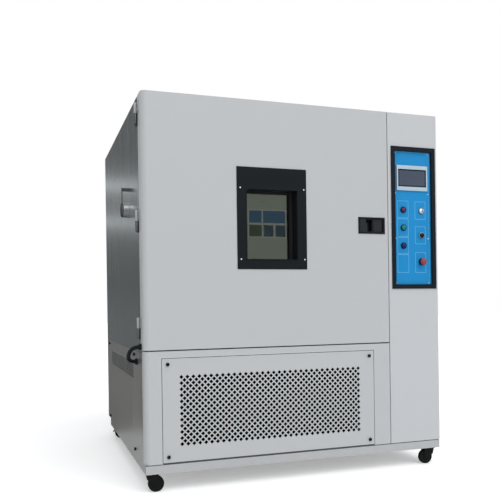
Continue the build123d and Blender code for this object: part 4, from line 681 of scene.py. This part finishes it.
# Hinges: bored knuckles, the cabinet's with a pin, and leaves held by screws.
HINGE_X, HINGE_Y, HINGE_MIDS = -9.0, 92.0, (752, 1254, 1756)
PINNED = [(0, -50), (6.6, -50), (8, -48.6), (8, -1.4), (7.2, -0.4), (4, -0.2), (4, 38), (0, 39)]
BORED = [(4.1, 0.4), (7.2, 0.5), (8, 1.6), (8, 48.4), (6.4, 50.1), (0, 50.3)]
LEAF_SCREW = [(0, 4.4), (1.6, 4.4), (3.6, 3.7), (4.2, 2.9)]
# The cabinet's leaves take the dark steel, darker than the door's lighter steel: painted shade on the hinges'
# far side.
for name, body, node, surface, knuckle, blocks, screws in (
    ("hinges_cabinet", "cabinet", "cabinet_hinges", DARK_STEEL_AND_SHADE, PINNED,
     (((HINGE_X + 2, 0, -50), (0, 3, -0.3)), ((-3, 3, -50), (0, 46, -0.3))),
     [(y, z) for y in (16, 36) for z in (-40, -12)]),
    ("hinges_door", "door", "door_hinges", HINGE_STEEL, BORED,
     (((HINGE_X + 2, -6, 0.4), (0, -3, 50)), ((-3, -46, 0.4), (0, -6, 50))),
     [(y, z) for y in (-38, -18) for z in (12, 40)]),
):
    bm = bmesh.new()
    for mid in HINGE_MIDS:
        lathe(bm, knuckle, at(HINGE_X, HINGE_Y, mid), UP)
        for near, far in blocks:
            block(bm, *((x, HINGE_Y + y, mid + z) for x, y, z in (near, far)))
        for y, z in screws:
            lathe(bm, LEAF_SCREW, at(0, HINGE_Y + y, mid + z), SIDE, steps=16)
    finish_piece(name, bm, surface, body, replaces=[node])

# Cable port: a turned collar with its hanging boss, and a cover that swings on an arm.
port_low, port_high = (place(p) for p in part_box("port_sleeve"))
PORT_Y, PORT_Z, PIVOT_RISE = 423, 1350, 106
reach, bore_end = -port_low[0], -port_high[0]
SLEEVE = [(25, reach), (35.6, reach), (37, reach - 1.4), (37, 3.0), (39.5, 1.5), (39.5, 0.0), (28, 0.0),
          (28, bore_end + 3), (42, bore_end + 3), (42, bore_end + 0.6), (40.8, bore_end), (25, bore_end),
          (25, reach)]
PIVOT = [(9, 0), (9, reach), (4, reach), (4, reach + 4.0), (0, reach + 4.0)]
bm = bmesh.new()
lathe(bm, SLEEVE, at(0, PORT_Y, PORT_Z), SIDE, steps=56)
lathe(bm, PIVOT, at(0, PORT_Y, PORT_Z + PIVOT_RISE), SIDE, index=1)
bmesh.ops.remove_doubles(bm, verts=bm.verts, dist=0.000001)
finish_piece("port_collar", bm, [PORT_STEEL, BOSS_GREY], "cabinet", replaces=["port_sleeve"])
face = reach + 0.3
LID = [(0, face), (36.4, face), (37, face + 1), (37, face + 3.6), (33, face + 7.6), (12, face + 8),
       (0, face + 8)]
EYE = [(4.2, face), (9, face), (9, face + 3.2), (8.2, face + 4), (4.2, face + 4)]
bm = bmesh.new()
lathe(bm, LID, at(0, PORT_Y, PORT_Z), SIDE, steps=56)
block(bm, (-face - 4, PORT_Y - 4.5, PORT_Z + 30), (-face, PORT_Y + 4.5, PORT_Z + PIVOT_RISE))
lathe(bm, EYE, at(0, PORT_Y, PORT_Z + PIVOT_RISE), SIDE)
finish_piece("port_lid", bm, DARK_STEEL_AND_SHADE, "port_cover", replaces=["port_cover"])

# Casters: wheels with a crowned tread, hub discs and axle caps.
AXLE_CAP = [(9, 0.0), (8.2, 1.2), (5.5, 1.6), (5.0, 2.4), (0, 2.6)]
for corner in CORNERS:
    node = f"caster_wheel_{corner}"
    low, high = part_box(node)
    centre = (low + high) / 2
    half, radius = (high.y - low.y) * 500, (high.z - low.z) * 500
    tyre = [(radius - 9, -half + 1), (radius - 5, -half + 0.2), (radius - 2, -half + 1),
            (radius - 0.4, -half + 4), (radius, 0), (radius - 0.4, half - 4), (radius - 2, half - 1),
            (radius - 5, half - 0.2), (radius - 9, half - 1)]
    hub = [(radius - 9, half - 2.2), (radius - 11, half - 4.5), (11, half - 5), (10, half - 1),
           (4.08, half - 1)]
    bm = bmesh.new()
    lathe(bm, tyre, centre, BACK, steps=56)
    for way in (-1, 1):
        lathe(bm, hub, centre, (0, way, 0), steps=36, index=1)
    finish_piece(f"wheel_{corner}", bm, [TREAD, NYLON], node, replaces=[node])
    fork_low, fork_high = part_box(f"caster_fork_{corner}")
    bm = bmesh.new()
    for way, y in ((-1, fork_low.y), (1, fork_high.y)):
        lathe(bm, AXLE_CAP, Vector((centre.x, y, centre.z)), (0, way, 0), steps=24)
    finish_piece(f"axle_caps_{corner}", bm, NYLON, f"caster_fork_{corner}")

# Door seal: a hollow bulb on a flat foot, all round the inner face.
seal_low, seal_high = (place(p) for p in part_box("door_seal"))
bm = bmesh.new()
outline = loop(seal_low[0] + 11, seal_low[2] + 11, seal_high[0] - 11, seal_high[2] - 11, 14, 6)
foot, crown = seal_low[1], seal_high[1] - 0.1
band(bm, outline, [(10, foot), (10, foot + 2.4), (6.5, foot + 3.2), (5, foot + 6.4), (1.5, crown),
                   (-1.5, crown), (-5, foot + 6.4), (-6.5, foot + 3.2), (-10, foot + 2.4), (-10, foot)])
finish_piece("door_seal_bulb", bm, RUBBER, "door", replaces=["door_seal"], angle=60)

# Screws round the rear panel.
REAR_INSET = 40
HEAD = [(0, 2.2), (1.0, 2.2), (1.2, 1.6), (2.4, 2.1), (3.8, 1.3), (4.4, 0.1), (4.4, -0.4)]
rear_spots = [
    (REAR_INSET + i * (WIDTH - 2 * REAR_INSET) / 5, z) for i in range(6) for z in (150, 1822)
]
rear_spots += [(x, 430 + i * 278) for i in range(5) for x in (REAR_INSET, WIDTH - REAR_INSET)]
bm = bmesh.new()
for x, z in rear_spots:
    lathe(bm, HEAD, at(x, DEPTH, z), BACK, steps=14)
finish_piece("rear_screws", bm, ROUND_STEEL, "cabinet")

# Finishes of the carried-over nodes
paint(PAINT, "door_skin", "lower_fascia")
paint(COLUMN, "column_shell")
paint(BAND, "base_frame")
paint(BRUSHED, "left_shell", "right_shell")
paint(BRUSHED_LOW, "lower_side_panel")
paint(GALVANISED, "rear_panel")
paint(TOP_SHEET, "top_shell")
paint(STAINLESS, "mouth_frame", "inner_liner", "duct_plate", "shelf_rails", "shelves", "door_liner", "heater")
paint(ROUND_STEEL, "rear_connections")
paint(FOAM, "wall_insulation", "door_core")
paint(FINS, "circulation_fan", "evaporator", "condenser")
paint(ENAMEL, "fan_motor", "compressor", "condenser_fan")
paint(PLATE_BLACK, "window_frame")
paint(PADDLE_BLACK, "latch_paddle")
paint(PIT, "latch_cup")
paint(BLACK, "control_bezel")
paint(GLASS, "window_panes")
paint(BLUE, "control_panel")
paint(SILVER, "screen_bezel")
paint(SCREEN, "touch_screen")
paint(GEAR, "control_gear")
forks = [f"caster_fork_{corner}" for corner in CORNERS]
paint(NYLON, "caster_plates", *forks, "brake_pedal_rear_left", "brake_pedal_rear_right")
soften(0.8, "control_bezel", "window_frame", "screen_bezel", "latch_paddle")
soften(1.0, *forks)

# Studio: a pale floor, which the camera sees lifted towards white, a white surround and soft lamps.
FLOOR_LIFT = 0.34
ground = bpy.data.materials.new("floor")
ground.use_nodes = True
tree = ground.node_tree
shader = tree.nodes["Principled BSDF"]
shader.inputs["Base Color"].default_value = (0.88, 0.88, 0.88, 1)
shader.inputs["Roughness"].default_value = 0.9
shader.inputs["Specular IOR Level"].default_value = 0.1
lift = tree.nodes.new("ShaderNodeEmission")
lift.inputs["Color"].default_value = (1, 1, 1, 1)
seen = tree.nodes.new("ShaderNodeLightPath")
amount = tree.nodes.new("ShaderNodeMath")
amount.operation = "MULTIPLY"
amount.inputs[1].default_value = FLOOR_LIFT
total = tree.nodes.new("ShaderNodeAddShader")
tree.links.new(seen.outputs["Is Camera Ray"], amount.inputs[0])
tree.links.new(amount.outputs[0], lift.inputs["Strength"])
tree.links.new(shader.outputs[0], total.inputs[0])
tree.links.new(lift.outputs[0], total.inputs[1])
tree.links.new(total.outputs[0], tree.nodes["Material Output"].inputs["Surface"])
bm = bmesh.new()
bmesh.ops.create_grid(bm, x_segments=2, y_segments=2, size=30)
new_object("floor", bm, ground)


def far_sheet(name, bm, surfaces):
    """A far part of the room that only gloss shows: no camera, lamp or shadow meets it."""
    sheet = new_object(name, bm, *surfaces)
    for ray in ("camera", "diffuse", "transmission", "shadow", "volume_scatter"):
        setattr(sheet, f"visible_{ray}", False)


def glowing(name, tone):
    """A surface with a tone of its own, whatever the lamps do."""
    made = bpy.data.materials.new(name)
    made.use_nodes = True
    tree = made.node_tree
    tree.nodes.clear()
    glow = tree.nodes.new("ShaderNodeEmission")
    glow.inputs["Color"].default_value = (*tone, 1)
    tree.links.new(glow.outputs[0], tree.nodes.new("ShaderNodeOutputMaterial").inputs["Surface"])
    return made


def card(name, corners, axis, low, high, stops, tint=(0.97, 1.02, 1.04)):
    """A far sheet whose tone changes along one axis, in stops of (place, tone)."""
    bm = bmesh.new()
    bm.faces.new([bm.verts.new(at(*corner)) for corner in corners])
    made = glowing(name, (1, 1, 1))
    tree = made.node_tree
    coords = tree.nodes.new("ShaderNodeTexCoord")
    parts = tree.nodes.new("ShaderNodeSeparateXYZ")
    spread = tree.nodes.new("ShaderNodeMapRange")
    spread.inputs["From Min"].default_value = low / 1000
    spread.inputs["From Max"].default_value = high / 1000
    ramp = tree.nodes.new("ShaderNodeValToRGB")
    while len(ramp.color_ramp.elements) < len(stops):
        ramp.color_ramp.elements.new(0.5)
    for stop, (spot, tone) in zip(ramp.color_ramp.elements, stops):
        stop.position = (spot - low) / (high - low)
        stop.color = (*(tone * part for part in tint), 1)
    tree.links.new(coords.outputs["Object"], parts.inputs["Vector"])
    tree.links.new(parts.outputs[axis], spread.inputs["Value"])
    tree.links.new(spread.outputs["Result"], ramp.inputs["Fac"])
    tree.links.new(ramp.outputs["Color"], tree.nodes["Emission"].inputs["Color"])
    far_sheet(name, bm, [made])


# The room far behind, as the brushed side mirrors it: grey, with two rows of bright windows.
ROOM_LEFT, ROOM_BACK, ROOM_TOP = -6000, 9000, 5000
rear_corners = ((ROOM_LEFT, 0), (800, 0), (800, ROOM_TOP), (ROOM_LEFT, ROOM_TOP))
card("room_rear", [(x, ROOM_BACK, z) for x, z in rear_corners], "Z", 0, ROOM_TOP,
     [(0, 0.165), (500, 0.165), (900, 0.15), (1300, 0.125), (1900, 0.155), (2080, 0.18), (2250, 0.30),
      (2330, 0.68), (2420, 0.68), (2530, 0.27), (2760, 0.25), (2900, 0.32), (2990, 0.78), (3080, 0.76),
      (3200, 0.24), (3500, 0.15), (ROOM_TOP, 0.12)])
card("room_floor",
     ((ROOM_LEFT, 1500, 2), (3000, 1500, 2), (3000, ROOM_BACK, 2), (ROOM_LEFT, ROOM_BACK, 2)),
     "Y", 0, 10000, [(0, 0.15), (1600, 0.16), (2600, 0.19), (ROOM_BACK, 0.165)], (1.02, 1.0, 0.97))

# The room in front, as the window's glass mirrors it: a pale wall with a row of blue windows.
WALL, FRAMES, BLUE_PANE, GREY_PANE, NIGHT_PANE = range(5)
tones = ((0.95, 1.08, 0.88), (1.25, 1.35, 1.15), (0.10, 0.32, 0.66), (0.14, 0.17, 0.13), (0.06, 0.14, 0.30))
bm = bmesh.new()
for index, y, x0, z0, x1, z1 in (
    (WALL, -3002, 1380, 1150, 2150, 2180), (FRAMES, -3000, 1552, 1515, 1960, 1797),
    (BLUE_PANE, -2998, 1566, 1662, 1697, 1785), (BLUE_PANE, -2998, 1713, 1662, 1950, 1785),
    (GREY_PANE, -2998, 1566, 1527, 1697, 1642), (NIGHT_PANE, -2998, 1716, 1527, 1821, 1642),
    (NIGHT_PANE, -2998, 1843, 1527, 1950, 1642),
):
    corners = [bm.verts.new(at(x, y, z)) for x, z in ((x0, z0), (x1, z0), (x1, z1), (x0, z1))]
    bm.faces.new(corners).material_index = index
far_sheet("room_front", bm, [glowing(f"room_front_{i}", tone) for i, tone in enumerate(tones)])

# The surround: white where the camera, gloss or clear glass sees it, and dimmer as a light.
world = bpy.data.worlds.new("surround")
bpy.context.scene.world = world
world.use_nodes = True
tree = world.node_tree
tree.nodes.clear()
rays = tree.nodes.new("ShaderNodeLightPath")
first = tree.nodes.new("ShaderNodeMath")
first.operation = "MAXIMUM"
second = tree.nodes.new("ShaderNodeMath")
second.operation = "MAXIMUM"
tree.links.new(rays.outputs["Is Camera Ray"], first.inputs[0])
tree.links.new(rays.outputs["Is Glossy Ray"], first.inputs[1])
tree.links.new(first.outputs[0], second.inputs[0])
tree.links.new(rays.outputs["Is Transmission Ray"], second.inputs[1])
white = tree.nodes.new("ShaderNodeBackground")
white.inputs["Color"].default_value = (1, 1, 1, 1)
white.inputs["Strength"].default_value = 1.0
dim = tree.nodes.new("ShaderNodeBackground")
dim.inputs["Color"].default_value = (0.96, 0.98, 1.0, 1)
dim.inputs["Strength"].default_value = 0.5
mixed = tree.nodes.new("ShaderNodeMixShader")
output = tree.nodes.new("ShaderNodeOutputWorld")
tree.links.new(second.outputs[0], mixed.inputs[0])
tree.links.new(dim.outputs[0], mixed.inputs[1])
tree.links.new(white.outputs[0], mixed.inputs[2])
tree.links.new(mixed.outputs[0], output.inputs["Surface"])


def lamp(name, towards, power, width):
    """A broad, far lamp that shines along a direction; width is its size as an angle in degrees."""
    data = bpy.data.lights.new(name, "SUN")
    data.energy = power
    data.angle = math.radians(width)
    made = bpy.data.objects.new(name, data)
    bpy.context.scene.collection.objects.link(made)
    made.location = (0, -3, 4)
    made.rotation_euler = Vector(towards).to_track_quat("-Z", "Y").to_euler()


lamp("key", (-0.25, 0.70, -0.75), 1.5, 60)
lamp("overhead", (0.05, 0.1, -1.0), 0.45, 90)
